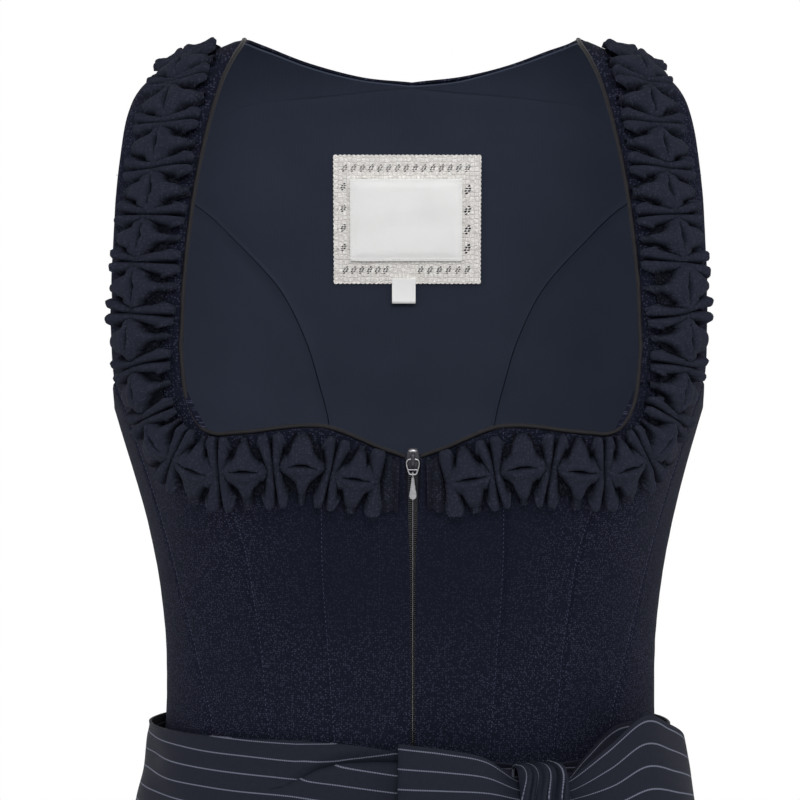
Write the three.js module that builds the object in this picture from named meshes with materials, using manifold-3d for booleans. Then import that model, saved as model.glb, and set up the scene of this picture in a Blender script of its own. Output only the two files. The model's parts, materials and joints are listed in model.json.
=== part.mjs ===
// Knee-length dirndl with apron, size 34, standing in its worn shape.
// Millimetres. +Z is up, the front faces -Y and the wearer's left is +X.
// The origin is the mid-point between the tops of the two shoulder straps.
import * as THREE from 'three';
import Module from 'manifold-3d';
import { mergeVertices } from 'three/addons/utils/BufferGeometryUtils.js';

const wasm = await Module();
wasm.setup();

// Sizes
const clothThickness = 1.5;
const liningThickness = 1;
const seamGap = 0.3;
const pipingRadius = 1.5;
const trimThickness = 1;
const sashThickness = 1.4;
const bowThickness = 1.2;
const strapSlopeStart = 84;
const strapSlope = 0.44;
const strapSlopeFade = 170;
const bust = { lift: 13, angle: 38, spread: 20, drop: 205, height: 46 };
const labelSize = { left: -39.5, right: 35.7, top: -57.5, bottom: -124.5 };
const labelPanelSize = { left: -31.3, right: 26.4, top: -67.7, bottom: -114.2 };
const tagSize = { left: -10, right: 2.7, top: -124.8, bottom: -134.3 };
const zipTapeWidth = 12;
const chainWidth = 4;
const chainThickness = 1.1;
const pullWire = 0.9;
const foldCount = 12;
const apronHalfColumns = 10;
const seamRows = 10;
const labelGap = 0.8;
const sideways = { shift: 2, reach: 160 };

// Body of the bodice: drop below the shoulder line, half width, front and back
// depth, and how square the ring is.
const torsoRings = [
  { drop: 0, half: 164, front: 0, back: 0, square: 0.3 },
  { drop: 2, half: 164, front: 15, back: 15, square: 0.3 },
  { drop: 8, half: 164, front: 31, back: 30, square: 0.3 },
  { drop: 20, half: 164, front: 49, back: 47, square: 0.3 },
  { drop: 38, half: 164, front: 66, back: 62, square: 0.3 },
  { drop: 60, half: 164, front: 80, back: 74, square: 0.3 },
  { drop: 85, half: 163, front: 92, back: 84, square: 0.3 },
  { drop: 112, half: 161.5, front: 101, back: 92, square: 0.3 },
  { drop: 140, half: 157, front: 107, back: 98, square: 0.28 },
  { drop: 166, half: 150, front: 110, back: 101, square: 0.24 },
  { drop: 190, half: 143, front: 110, back: 102, square: 0.19 },
  { drop: 215, half: 136, front: 107, back: 100, square: 0.15 },
  { drop: 240, half: 130, front: 101, back: 96, square: 0.12 },
  { drop: 268, half: 124.5, front: 95, back: 91, square: 0.11 },
  { drop: 296, half: 121.2, front: 89.5, back: 86, square: 0.1 },
  { drop: 324, half: 120.6, front: 86.5, back: 83, square: 0.1 },
  { drop: 352, half: 121.5, front: 85.5, back: 82, square: 0.1 },
];
const waistLevel = 16;

// Edges and seams, each from top to bottom or from the middle outward. The angle
// runs from the centre front to the centre back, the level counts torso rings.
const zipEdge = [
  { angle: 1.35, level: 10.38 },
  { angle: 1.3, level: 10.9 },
  { angle: 0.95, level: 11.5 },
  { angle: 0.62, level: 12.3 },
  { angle: 0.52, level: 13.1 },
  { angle: 0.48, level: 14.2 },
  { angle: 0.48, level: 16 },
];
const neckCentre = [
  { angle: 1.35, level: 10.38 },
  { angle: 4.1, level: 10.27 },
  { angle: 5.8, level: 10.2 },
  { angle: 9.6, level: 9.99 },
  { angle: 12.4, level: 9.85 },
  { angle: 15, level: 9.78 },
];
const neckSide = [
  { angle: 15, level: 9.78 },
  { angle: 19.2, level: 9.79 },
  { angle: 24.9, level: 9.88 },
  { angle: 29.4, level: 9.93 },
  { angle: 32.6, level: 9.96 },
  { angle: 35.2, level: 9.88 },
  { angle: 36.8, level: 9.67 },
  { angle: 37.9, level: 9.33 },
  { angle: 38.1, level: 8.96 },
];
const strapInner = [
  { angle: 24.2, level: 0.01 },
  { angle: 24.5, level: 1 },
  { angle: 26, level: 1.9 },
  { angle: 27.2, level: 2.46 },
  { angle: 28.1, level: 2.93 },
  { angle: 29.6, level: 3.69 },
  { angle: 30.8, level: 4.36 },
  { angle: 31.7, level: 4.89 },
  { angle: 33.3, level: 5.9 },
  { angle: 34.6, level: 6.87 },
  { angle: 36.3, level: 7.8 },
  { angle: 37.4, level: 8.28 },
  { angle: 38.1, level: 8.96 },
];
const strapOuter = [
  { angle: 43, level: 0.01 }, { angle: 44.8, level: 1 }, { angle: 47.7, level: 2.2 },
  { angle: 49.6, level: 3.26 }, { angle: 51, level: 4.38 }, { angle: 52, level: 5.4 },
  { angle: 53.3, level: 6.36 }, { angle: 54.8, level: 7.26 },
];
const armholeFront = [
  { angle: 54.8, level: 7.26 }, { angle: 58.6, level: 8.11 }, { angle: 65.6, level: 8.96 },
];
const armholeSide = [
  { angle: 65.6, level: 8.96 }, { angle: 76, level: 9.5 }, { angle: 90, level: 9.75 },
];
const armholeBack = [
  { angle: 90, level: 9.75 }, { angle: 100, level: 9.45 }, { angle: 108, level: 8.9 },
  { angle: 115, level: 8.1 }, { angle: 120, level: 7.3 }, { angle: 123, level: 6.4 },
  { angle: 125, level: 5.4 }, { angle: 126, level: 4.3 },
];
const innerFrontSeam = [
  { angle: 15, level: 9.78 }, { angle: 15.8, level: 10.41 }, { angle: 17.3, level: 11.5 },
  { angle: 18.4, level: 12.36 }, { angle: 18.8, level: 13.1 }, { angle: 18.7, level: 13.8 },
  { angle: 18.2, level: 14.67 }, { angle: 17.3, level: 15.55 }, { angle: 16.8, level: 16 },
];
const middleFrontSeam = [
  { angle: 54.8, level: 7.26 }, { angle: 49, level: 8.2 }, { angle: 43, level: 9.1 },
  { angle: 38.3, level: 10 }, { angle: 35.3, level: 10.8 }, { angle: 34.1, level: 11.5 },
  { angle: 34.5, level: 12.4 }, { angle: 35.1, level: 13.1 }, { angle: 34.9, level: 14 },
  { angle: 34.2, level: 14.9 }, { angle: 33, level: 15.6 }, { angle: 32.3, level: 16 },
];
const outerFrontSeam = [
  { angle: 65.6, level: 8.96 }, { angle: 63.5, level: 10 }, { angle: 62.2, level: 11.2 },
  { angle: 62.6, level: 12.2 }, { angle: 61.8, level: 13.1 }, { angle: 59, level: 13.95 },
  { angle: 54.5, level: 14.8 }, { angle: 51.8, level: 15.3 }, { angle: 50, level: 16 },
];
const sideSeam = [{ angle: 90, level: 9.75 }, { angle: 90, level: 12 }, { angle: 90, level: 16 }];
const backSeam = [
  { angle: 126, level: 4.3 }, { angle: 131.5, level: 4.65 }, { angle: 138.5, level: 5.1 },
  { angle: 146.3, level: 5.72 }, { angle: 154.2, level: 6.72 }, { angle: 160.3, level: 7.59 },
  { angle: 163.2, level: 8.55 }, { angle: 164.3, level: 9.6 }, { angle: 164.8, level: 10.4 },
  { angle: 165, level: 12 }, { angle: 165, level: 14 }, { angle: 165, level: 16 },
];
const backNeck = [
  { angle: 155.8, level: 0.01 },
  { angle: 157.8, level: 1.1 },
  { angle: 161.2, level: 1.85 },
  { angle: 166, level: 2.45 },
  { angle: 173, level: 2.95 },
  { angle: 180, level: 3.15 },
];
const backShoulder = [
  { angle: 137, level: 0.01 }, { angle: 134, level: 1.1 }, { angle: 131.3, level: 2 },
  { angle: 129, level: 2.8 }, { angle: 127.3, level: 3.6 }, { angle: 126, level: 4.3 },
];

// Ruched trim: middle line of the band, with its reach on either side of it, and
// the places of its pinched openings along that line.
const trimLine = [
  { angle: 2.45, level: 10.83, upper: 14, lower: 15 },
  { angle: 5.2, level: 10.82, upper: 15, lower: 16 },
  { angle: 9.8, level: 10.72, upper: 16, lower: 17 },
  { angle: 18.7, level: 10.5, upper: 16, lower: 18 },
  { angle: 28.6, level: 10.59, upper: 16, lower: 18 },
  { angle: 37.7, level: 10.55, upper: 17, lower: 17.5 },
  { angle: 45.9, level: 10.06, upper: 18, lower: 16 },
  { angle: 48.9, level: 9.1, upper: 19, lower: 15 },
  { angle: 47.8, level: 8.06, upper: 20, lower: 14.5 },
  { angle: 44.6, level: 7.05, upper: 20, lower: 15 },
  { angle: 42.7, level: 6.05, upper: 19, lower: 15 },
  { angle: 40.1, level: 5.07, upper: 18, lower: 15.5 },
  { angle: 38.6, level: 4.02, upper: 17.5, lower: 15.5 },
  { angle: 36.6, level: 2.9, upper: 17, lower: 16 },
  { angle: 34.6, level: 1.52, upper: 16.5, lower: 16 },
  { angle: 33.4, level: 0.02, upper: 16, lower: 16 },
];

// Waist and skirt rings: drop, half width, front and back depth, fold height.
const skirtRings = [
  { drop: 352.3, half: 121.5, front: 85.5, back: 82, fold: 0 },
  { drop: 372, half: 126, front: 90, back: 88, fold: 2 },
  { drop: 400, half: 128.5, front: 98, back: 96, fold: 3 },
  { drop: 480, half: 160, front: 124, back: 124, fold: 5 },
  { drop: 620, half: 206, front: 165, back: 168, fold: 8 },
  { drop: 790, half: 243, front: 203, back: 207, fold: 10.5 },
  { drop: 972, half: 269, front: 232, back: 236, fold: 12.5 },
  { drop: 1002, half: 272, front: 236, back: 240, fold: 13 },
];
const ringSquare = 0.1;

// Sash rings: the inner face of the cloth.
const sashRings = [
  { drop: 341, half: 129, front: 89.4, back: 86 },
  { drop: 352, half: 130.4, front: 91.6, back: 88 },
  { drop: 364, half: 132.4, front: 95.3, back: 92 },
  { drop: 372, half: 134, front: 97.8, back: 95 },
  { drop: 384, half: 136.2, front: 101.8, back: 100.2 },
  { drop: 396, half: 139.6, front: 106.6, back: 105.4 },
];
// Top edge of the sash round the body: it dips where the bow is tied.
const sashTop = [
  { angle: -180, drop: 341 }, { angle: -68, drop: 339.3 }, { angle: -16, drop: 340.3 },
  { angle: -2, drop: 344.3 }, { angle: 18, drop: 349.8 }, { angle: 25, drop: 352 },
  { angle: 36, drop: 349.8 }, { angle: 52, drop: 342 }, { angle: 180, drop: 341 },
];
const apronBandRings = [
  { drop: 354, half: 125.7, front: 89.9, back: 86.9 },
  { drop: 372, half: 131.7, front: 95.7, back: 93.7 },
];

// Bow: each station gives the angle, the drops of its two edges and how far it
// stands out from the sash.
const innerLoop = [
  { angle: 23, top: 360, bottom: 382, out: 10 },
  { angle: 18.6, top: 355, bottom: 385, out: 11.5 },
  { angle: 13, top: 345.5, bottom: 394, out: 15 },
  { angle: 6, top: 341.6, bottom: 399, out: 14 },
  { angle: 0, top: 339.8, bottom: 402, out: 11 },
  { angle: -2.6, top: 339.6, bottom: 403, out: 6.5 },
  { angle: 0, top: 341, bottom: 402, out: 2.4 },
  { angle: 7, top: 344, bottom: 398, out: 1.1 },
  { angle: 13, top: 350, bottom: 391, out: 1.4 },
  { angle: 18.6, top: 358, bottom: 384, out: 3 },
  { angle: 23, top: 362, bottom: 381, out: 3.4 },
];
const outerLoop = [
  { angle: 25.4, top: 360, bottom: 382, out: 11 },
  { angle: 30.4, top: 357, bottom: 385, out: 13.5 },
  { angle: 38, top: 342, bottom: 396, out: 21 },
  { angle: 47, top: 327.5, bottom: 400, out: 23 },
  { angle: 57, top: 333.5, bottom: 402, out: 20 },
  { angle: 67, top: 341, bottom: 403, out: 15 },
  { angle: 73, top: 348, bottom: 402, out: 9 },
  { angle: 70, top: 341, bottom: 399, out: 3 },
  { angle: 60, top: 335, bottom: 397, out: 1.4 },
  { angle: 48, top: 334, bottom: 394, out: 1.2 },
  { angle: 38, top: 347, bottom: 391, out: 1.2 },
  { angle: 30.4, top: 360, bottom: 384, out: 3 },
  { angle: 25.4, top: 362, bottom: 381, out: 3.4 },
];
const knot = { from: 19.6, to: 29.4, drop: 371, halfDrop: 21, out: 9.4, halfOut: 8.3 };
const innerTail = [
  { angle: 21.4, drop: 393.4, width: 9, out: 18 },
  { angle: 19.5, drop: 412, width: 20, out: 17 },
  { angle: 15.5, drop: 450, width: 40, out: 15 },
  { angle: 13.5, drop: 560, width: 48, out: 15.5 },
  { angle: 12, drop: 700, width: 50, out: 18.5 },
  { angle: 11.5, drop: 790, width: 51, out: 20.5 },
];
const outerTail = [
  { angle: 27.8, drop: 393.4, width: 9, out: 18 },
  { angle: 31, drop: 412, width: 20, out: 17 },
  { angle: 34.5, drop: 450, width: 40, out: 15 },
  { angle: 35, drop: 560, width: 48, out: 15.5 },
  { angle: 33.5, drop: 700, width: 50, out: 18.5 },
  { angle: 33, drop: 762, width: 51, out: 20.5 },
];

const radians = (degrees) => degrees * Math.PI / 180;

// Smooth curve through four values, from the second to the third.
function smoothStep4(a, b, c, d, t) {
  const linear = (c - a) * t;
  const square = (2 * a - 5 * b + 4 * c - d) * t * t;
  const cube = (3 * b - a - 3 * c + d) * t * t * t;
  return 0.5 * (2 * b + linear + square + cube);
}

// Value of one column of a table at a row number that may lie between rows.
function columnAt(table, key, row) {
  const last = table.length - 1;
  const value = (index) => {
    if (index < 0) return 2 * table[0][key] - table[Math.min(-index, last)][key];
    if (index > last) return 2 * table[last][key] - table[Math.max(2 * last - index, 0)][key];
    return table[index][key];
  };
  const base = Math.min(Math.max(Math.floor(row), 0), last - 1);
  const t = row - base;
  return smoothStep4(value(base - 1), value(base), value(base + 1), value(base + 2), t);
}

// Straight reading of one column by another that grows down the table.
function columnBy(table, by, key, place) {
  let index = 0;
  while (index < table.length - 2 && place > table[index + 1][by]) index += 1;
  const above = table[index];
  const below = table[index + 1];
  const t = (place - above[by]) / (below[by] - above[by]);
  return above[key] + (below[key] - above[key]) * t;
}
const columnAtDrop = (table, key, drop) => columnBy(table, 'drop', key, drop);

// The torso bends over at the shoulder line, so level 0 mirrors front and back.
function torsoValue(key, level) {
  const mirrored = { front: 'back', back: 'front' };
  const value = (index) => {
    if (index >= 0 && index < torsoRings.length) return torsoRings[index][key];
    if (index < 0 && mirrored[key]) return -torsoRings[-index][mirrored[key]];
    if (index < 0) return torsoRings[-index][key];
    const last = torsoRings.length - 1;
    return 2 * torsoRings[last][key] - torsoRings[2 * last - index][key];
  };
  const base = Math.min(Math.floor(level), torsoRings.length - 2);
  return smoothStep4(value(base - 1), value(base), value(base + 1), value(base + 2), level - base);
}

function torsoPoint(angle, level) {
  const sine = Math.sin(radians(angle));
  const cosine = Math.cos(radians(angle));
  const drop = torsoValue('drop', level);
  const square = torsoValue('square', level);
  const depth = torsoValue(cosine > 0 ? 'front' : 'back', level);
  let x = torsoValue('half', level) * sine * (1 + square * cosine * cosine);
  let y = -depth * cosine * (1 + square * sine * sine);
  if (cosine > 0) {
    const sideways = (Math.abs(angle) - bust.angle) / bust.spread;
    const downward = (drop - bust.drop) / bust.height;
    const lift = bust.lift * Math.exp(-sideways * sideways - downward * downward);
    x += lift * sine;
    y -= lift * cosine;
  }
  const fade = 1 - THREE.MathUtils.smoothstep(drop, 0, strapSlopeFade);
  const z = -drop - strapSlope * Math.max(0, Math.abs(x) - strapSlopeStart) * fade;
  return new THREE.Vector3(x, y, z);
}

function torsoNormal(angle, level) {
  const along = torsoPoint(angle + 0.05, level).sub(torsoPoint(angle - 0.05, level));
  const down = torsoPoint(angle, level + 0.005).sub(torsoPoint(angle, Math.max(level - 0.005, 0)));
  return down.cross(along).normalize();
}

// A point that stands out from the torso by a distance.
function torsoPlace(point, out) {
  return torsoPoint(point.angle, point.level).addScaledVector(torsoNormal(point.angle, point.level), out);
}

// Elliptic rings below the waist, read by drop.
function ringPoint(rings, angle, drop, out) {
  const sine = Math.sin(radians(angle));
  const cosine = Math.cos(radians(angle));
  const half = columnAtDrop(rings, 'half', drop);
  const depth = columnAtDrop(rings, cosine > 0 ? 'front' : 'back', drop);
  const x = half * sine * (1 + ringSquare * cosine * cosine);
  const y = -depth * cosine * (1 + ringSquare * sine * sine);
  const normal = new THREE.Vector2(sine * depth, -cosine * half).normalize();
  return new THREE.Vector3(x + normal.x * out, y + normal.y * out, -drop);
}

// Even points along a table's smooth curve, spaced by their length on the torso.
function resample(table, count, shift = 0) {
  const dense = [];
  const steps = 24 * (table.length - 1);
  for (let index = 0; index <= steps; index += 1) {
    const row = index / 24;
    const sample = {};
    for (const key of Object.keys(table[0])) sample[key] = columnAt(table, key, row);
    dense.push(sample);
  }
  const lengths = [0];
  for (let index = 1; index < dense.length; index += 1) {
    const here = torsoPoint(dense[index].angle, dense[index].level);
    const before = torsoPoint(dense[index - 1].angle, dense[index - 1].level);
    lengths.push(lengths[index - 1] + here.distanceTo(before));
  }
  const total = lengths[lengths.length - 1];
  const points = [];
  let place = 0;
  for (let index = 0; index <= count; index += 1) {
    const target = total * index / count;
    while (place < lengths.length - 2 && lengths[place + 1] < target) place += 1;
    const t = Math.min(1, (target - lengths[place]) / (lengths[place + 1] - lengths[place]));
    const point = {};
    for (const key of Object.keys(table[0])) {
      point[key] = dense[place][key] + (dense[place + 1][key] - dense[place][key]) * t;
    }
    points.push(point);
  }
  return shift === 0 ? points : points.map((point) => shifted(point, shift));
}

// The same point moved round the body by a distance.
function shifted(point, distance) {
  const reach = torsoPoint(point.angle + 0.5, point.level)
    .distanceTo(torsoPoint(point.angle - 0.5, point.level));
  return { ...point, angle: point.angle + distance / reach };
}

function between(a, b, t) {
  return { angle: a.angle + (b.angle - a.angle) * t, level: a.level + (b.level - a.level) * t };
}

// Grid over an area bounded by four lines that meet at their ends.
function boundedGrid(top, bottom, left, right) {
  const columns = top.length - 1;
  const rows = left.length - 1;
  const grid = [];
  for (let row = 0; row <= rows; row += 1) {
    const v = row / rows;
    const line = [];
    for (let column = 0; column <= columns; column += 1) {
      const u = column / columns;
      const point = {};
      for (const key of ['angle', 'level']) {
        const vertical = (1 - v) * top[column][key] + v * bottom[column][key];
        const sideways = (1 - u) * left[row][key] + u * right[row][key];
        const upper = (1 - u) * top[0][key] + u * top[columns][key];
        const lower = (1 - u) * bottom[0][key] + u * bottom[columns][key];
        point[key] = vertical + sideways - (1 - v) * upper - v * lower;
      }
      line.push(point);
    }
    grid.push(line);
  }
  return grid;
}

// Grid between two lines with the same number of points.
function ruledGrid(left, right, columns) {
  return left.map((point, row) => {
    const line = [];
    for (let column = 0; column <= columns; column += 1) {
      line.push(between(point, right[row], column / columns));
    }
    return line;
  });
}

function straightLine(from, to, count) {
  const points = [];
  for (let index = 0; index <= count; index += 1) points.push(between(from, to, index / count));
  return points;
}

function geometryFrom(positions, triangles) {
  const geometry = new THREE.BufferGeometry();
  geometry.setAttribute('position', new THREE.Float32BufferAttribute(positions.flat(), 3));
  geometry.setIndex(triangles.flat());
  let volume = 0;
  const corner = (index) => new THREE.Vector3(...positions[index]);
  for (const [a, b, c] of triangles) volume += corner(a).dot(corner(b).cross(corner(c)));
  if (volume < 0) geometry.setIndex(triangles.map(([a, b, c]) => [a, c, b]).flat());
  geometry.computeVertexNormals();
  return geometry;
}

// Closed cloth wall over one or more grids that share points. Each grid point is
// placed twice, on the near face and on the far face, and the rim joins the two.
function clothWall(grids, place, near, far) {
  const keys = new Map();
  const points = [];
  const nameOf = (point) => {
    const key = place(point, near).toArray().map((value) => Math.round(value * 1000)).join(' ');
    if (!keys.has(key)) {
      keys.set(key, points.length);
      points.push(point);
    }
    return keys.get(key);
  };
  const cells = [];
  for (const grid of grids) {
    for (let row = 0; row < grid.length - 1; row += 1) {
      for (let column = 0; column < grid[row].length - 1; column += 1) {
        const corners = [
          grid[row][column], grid[row][column + 1], grid[row + 1][column + 1], grid[row + 1][column],
        ].map(nameOf);
        cells.push(corners);
      }
    }
  }
  return wallFromCells(points.length, cells, (index) => [place(points[index], near), place(points[index], far)]);
}

// Closed wall from cells that are given as corner numbers, all turned one way.
function wallFromCells(count, cells, faces) {
  const positions = new Array(2 * count);
  for (let index = 0; index < count; index += 1) {
    const [near, far] = faces(index);
    positions[index] = near.toArray();
    positions[index + count] = far.toArray();
  }
  const edges = new Set();
  for (const cell of cells) {
    cell.forEach((corner, side) => edges.add(`${corner} ${cell[(side + 1) % cell.length]}`));
  }
  const triangles = [];
  for (const cell of cells) {
    for (let corner = 1; corner < cell.length - 1; corner += 1) {
      const [a, b, c] = [cell[0], cell[corner], cell[corner + 1]];
      triangles.push([a, b, c], [a + count, c + count, b + count]);
    }
    cell.forEach((from, side) => {
      const to = cell[(side + 1) % cell.length];
      if (edges.has(`${to} ${from}`)) return;
      triangles.push([to, from, from + count], [to, from + count, to + count]);
    });
  }
  return geometryFrom(positions, triangles);
}

// Wall over a grid of finished positions, thickened both ways along its normals.
function stripWall(grid, thickness, closed = false) {
  const rows = grid.length;
  const columns = grid[0].length;
  const rowAt = (row) => (closed ? grid[(row + rows) % rows] : grid[Math.min(Math.max(row, 0), rows - 1)]);
  const faces = (index) => {
    const row = Math.floor(index / columns);
    const column = index % columns;
    const along = rowAt(row + 1)[column].clone().sub(rowAt(row - 1)[column]);
    const across = grid[row][Math.min(column + 1, columns - 1)].clone()
      .sub(grid[row][Math.max(column - 1, 0)]);
    const normal = along.cross(across).normalize();
    const point = grid[row][column];
    return [
      point.clone().addScaledVector(normal, -thickness / 2),
      point.clone().addScaledVector(normal, thickness / 2),
    ];
  };
  const cells = [];
  for (let row = 0; row < (closed ? rows : rows - 1); row += 1) {
    for (let column = 0; column < columns - 1; column += 1) {
      const here = row * columns + column;
      const next = ((row + 1) % rows) * columns + column;
      cells.push([here, here + 1, next + 1, next]);
    }
  }
  return wallFromCells(rows * columns, cells, faces);
}

// Round cord through rings of points. An open cord gets flat ends.
function cord(rings, closed = false) {
  const sides = rings[0].length;
  const positions = rings.flat().map((point) => point.toArray());
  const triangles = [];
  for (let ring = 0; ring < (closed ? rings.length : rings.length - 1); ring += 1) {
    const here = ring * sides;
    const next = ((ring + 1) % rings.length) * sides;
    for (let side = 0; side < sides; side += 1) {
      const other = (side + 1) % sides;
      triangles.push([here + side, here + other, next + other], [here + side, next + other, next + side]);
    }
  }
  if (!closed) {
    const last = (rings.length - 1) * sides;
    for (let side = 1; side < sides - 1; side += 1) {
      triangles.push([0, side + 1, side], [last, last + side, last + side + 1]);
    }
  }
  return geometryFrom(positions, triangles);
}

function mirroredGeometry(geometry) {
  const mirrored = geometry.clone();
  const position = mirrored.getAttribute('position');
  for (let index = 0; index < position.count; index += 1) position.setX(index, -position.getX(index));
  const order = Array.from(mirrored.getIndex().array);
  for (let index = 0; index < order.length; index += 3) {
    [order[index + 1], order[index + 2]] = [order[index + 2], order[index + 1]];
  }
  mirrored.setIndex(order);
  mirrored.computeVertexNormals();
  return mirrored;
}

function solidFrom(geometry) {
  const bare = geometry.clone();
  bare.deleteAttribute('normal');
  if (bare.getAttribute('uv')) bare.deleteAttribute('uv');
  const merged = mergeVertices(bare, 1e-4);
  return new wasm.Manifold(new wasm.Mesh({
    numProp: 3,
    vertProperties: new Float32Array(merged.getAttribute('position').array),
    triVerts: new Uint32Array(merged.getIndex().array),
  }));
}

function geometryOf(solid) {
  const mesh = solid.getMesh();
  const geometry = new THREE.BufferGeometry();
  geometry.setAttribute('position', new THREE.BufferAttribute(new Float32Array(mesh.vertProperties), 3));
  geometry.setIndex(new THREE.BufferAttribute(new Uint32Array(mesh.triVerts), 1));
  geometry.computeVertexNormals();
  return geometry;
}

// Colours of the cloths and metals
const colours = {
  bodice: { color: 0x1a1e2c, roughness: 0.85, metalness: 0 },
  lining: { color: 0x242a38, roughness: 0.6, metalness: 0 },
  trim: { color: 0x191d2b, roughness: 0.85, metalness: 0 },
  piping: { color: 0x46413e, roughness: 0.45, metalness: 0 },
  label: { color: 0xebebe9, roughness: 0.7, metalness: 0 },
  lace: { color: 0xe4e0da, roughness: 0.85, metalness: 0 },
  tape: { color: 0x15171f, roughness: 0.9, metalness: 0 },
  metal: { color: 0xb9b9bb, roughness: 0.3, metalness: 1 },
  darkMetal: { color: 0x4b4b4f, roughness: 0.35, metalness: 1 },
  skirt: { color: 0x1a1e2c, roughness: 0.85, metalness: 0 },
  sash: { color: 0x262934, roughness: 0.8, metalness: 0 },
};

const dirndl = new THREE.Group();

// The whole garment sits a little to one side of its zip.
function addPiece(name, geometry, look) {
  const positions = geometry.getAttribute('position');
  for (let index = 0; index < positions.count; index += 1) {
    const x = positions.getX(index);
    positions.setX(index, x - sideways.shift * (x / sideways.reach) ** 2);
  }
  const mesh = new THREE.Mesh(geometry, new THREE.MeshStandardMaterial(look));
  mesh.name = name;
  dirndl.add(mesh);
  return mesh;
}

// The wearer's left piece is at +X and the right piece is its mirror image.
function addPair(name, geometry, look) {
  const mirrored = mirroredGeometry(geometry);
  addPiece(`${name}_left`, geometry, look);
  addPiece(`${name}_right`, mirrored, look);
}

// Bodice panels, each ending half a seam gap short of its seams
const half = seamGap / 2;
const waistLine = (left, right, count) => straightLine(left[left.length - 1], right[right.length - 1], count);

const centreTop = resample(neckCentre, 4);
centreTop[4] = shifted(centreTop[4], -half);
const centreLeft = resample(zipEdge, seamRows);
const centreRight = resample(innerFrontSeam, seamRows, -half);
const centreGrid = boundedGrid(centreTop, waistLine(centreLeft, centreRight, 4), centreLeft, centreRight);
addPair('bodice_centre_front', clothWall([centreGrid], torsoPlace, 0, clothThickness), colours.bodice);

const strapRows = 11;
const strapLeft = resample(strapInner, strapRows);
const strapRight = resample(strapOuter, strapRows);
const strapGrid = ruledGrid(strapLeft, strapRight, 4);
const sideTop = [
  ...resample(neckSide, 7),
  ...strapGrid[strapRows].slice(1),
];
sideTop[0] = shifted(sideTop[0], half);
const sideLeft = resample(innerFrontSeam, seamRows, half);
const sideRight = resample(middleFrontSeam, seamRows, -half);
sideRight[0] = sideTop[sideTop.length - 1];
const sideGrid = boundedGrid(sideTop, waistLine(sideLeft, sideRight, sideTop.length - 1), sideLeft, sideRight);
addPair('bodice_side_front', clothWall([strapGrid, sideGrid], torsoPlace, 0, clothThickness), colours.bodice);

function seamedPanel(topTable, leftTable, rightTable, columns, rows) {
  const left = resample(leftTable, rows, half);
  const right = resample(rightTable, rows, -half);
  const top = resample(topTable, columns);
  top[0] = left[0];
  top[columns] = right[0];
  return boundedGrid(top, waistLine(left, right, columns), left, right);
}

const outerGrid = seamedPanel(armholeFront, middleFrontSeam, outerFrontSeam, 3, seamRows);
addPair('bodice_outer_front', clothWall([outerGrid], torsoPlace, 0, clothThickness), colours.bodice);
const flankGrid = seamedPanel(armholeSide, outerFrontSeam, sideSeam, 3, seamRows);
addPair('bodice_side', clothWall([flankGrid], torsoPlace, 0, clothThickness), colours.bodice);
const sideBackGrid = seamedPanel(armholeBack, sideSeam, backSeam, 7, seamRows);
addPair('bodice_side_back', clothWall([sideBackGrid], torsoPlace, 0, clothThickness), colours.bodice);

// Centre back in two halves that share the centre line, with both shoulders
const neckToCentre = resample(backNeck, 6);
const shoulderToSeam = resample(backShoulder, 6);
const centreLine = [];
const backSeamLine = resample(backSeam, seamRows, half);
for (let row = 0; row <= seamRows; row += 1) {
  const level = 3.15 + (waistLevel - 3.15) * row / seamRows;
  centreLine.push({ angle: 180, level });
}
shoulderToSeam[6] = backSeamLine[0];
const upperBack = ruledGrid(neckToCentre, shoulderToSeam, 5);
const lowerBack = ruledGrid(centreLine, backSeamLine, 5);
const otherSide = (grid) => grid.map((line) => [...line].reverse()
  .map((point) => ({ angle: 360 - point.angle, level: point.level })));
const turned = (grid) => grid.map((line) => [...line].reverse());
const backGrids = [turned(upperBack), turned(lowerBack), turned(otherSide(upperBack)), turned(otherSide(lowerBack))];
addPiece('bodice_centre_back', clothWall(backGrids, torsoPlace, 0, clothThickness), colours.bodice);

// Lining of the back, just inside the outer cloth
const liningNear = -seamGap;
const liningFar = -seamGap - liningThickness;
addPiece('lining_centre_back', clothWall(backGrids, torsoPlace, liningNear, liningFar), colours.lining);
addPair('lining_side_back', clothWall([sideBackGrid], torsoPlace, liningNear, liningFar), colours.lining);

// Piping along the neckline and the inner edge of the strap
const neckEdge = [
  shifted(centreTop[0], 0.9),
  ...centreTop.slice(1, 4),
  ...sideTop.slice(0, 8),
  ...[...strapLeft].reverse().slice(1),
];
const edgeAt = neckEdge.map((point) => torsoPlace(point, clothThickness / 2));
const pipingRings = neckEdge.map((point, index) => {
  const before = edgeAt[Math.max(index - 1, 0)];
  const after = edgeAt[Math.min(index + 1, edgeAt.length - 1)];
  const along = after.clone().sub(before).normalize();
  const normal = torsoNormal(point.angle, point.level);
  const away = normal.clone().cross(along).normalize();
  const inward = edgeAt[index].clone().sub(before);
  const lean = index > 0 ? Math.max(0.7, inward.normalize().dot(along)) : 1;
  const centre = edgeAt[index].clone().addScaledVector(away, (pipingRadius + seamGap + 0.25) / lean);
  const ring = [];
  for (let side = 0; side < 6; side += 1) {
    const turn = side * Math.PI / 3;
    ring.push(centre.clone().addScaledVector(away, pipingRadius * Math.cos(turn))
      .addScaledVector(normal, pipingRadius * Math.sin(turn)));
  }
  return ring;
});
addPair('neck_piping', cord(pipingRings), colours.piping);

// Ruched trim: pairs of rounded ribs between diamond openings
const unitPhases = [0, 0.35, 0.43, 0.5, 0.57, 0.65];
const trimLevels = [-1, -0.5, 0, 0.5, 1];

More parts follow.
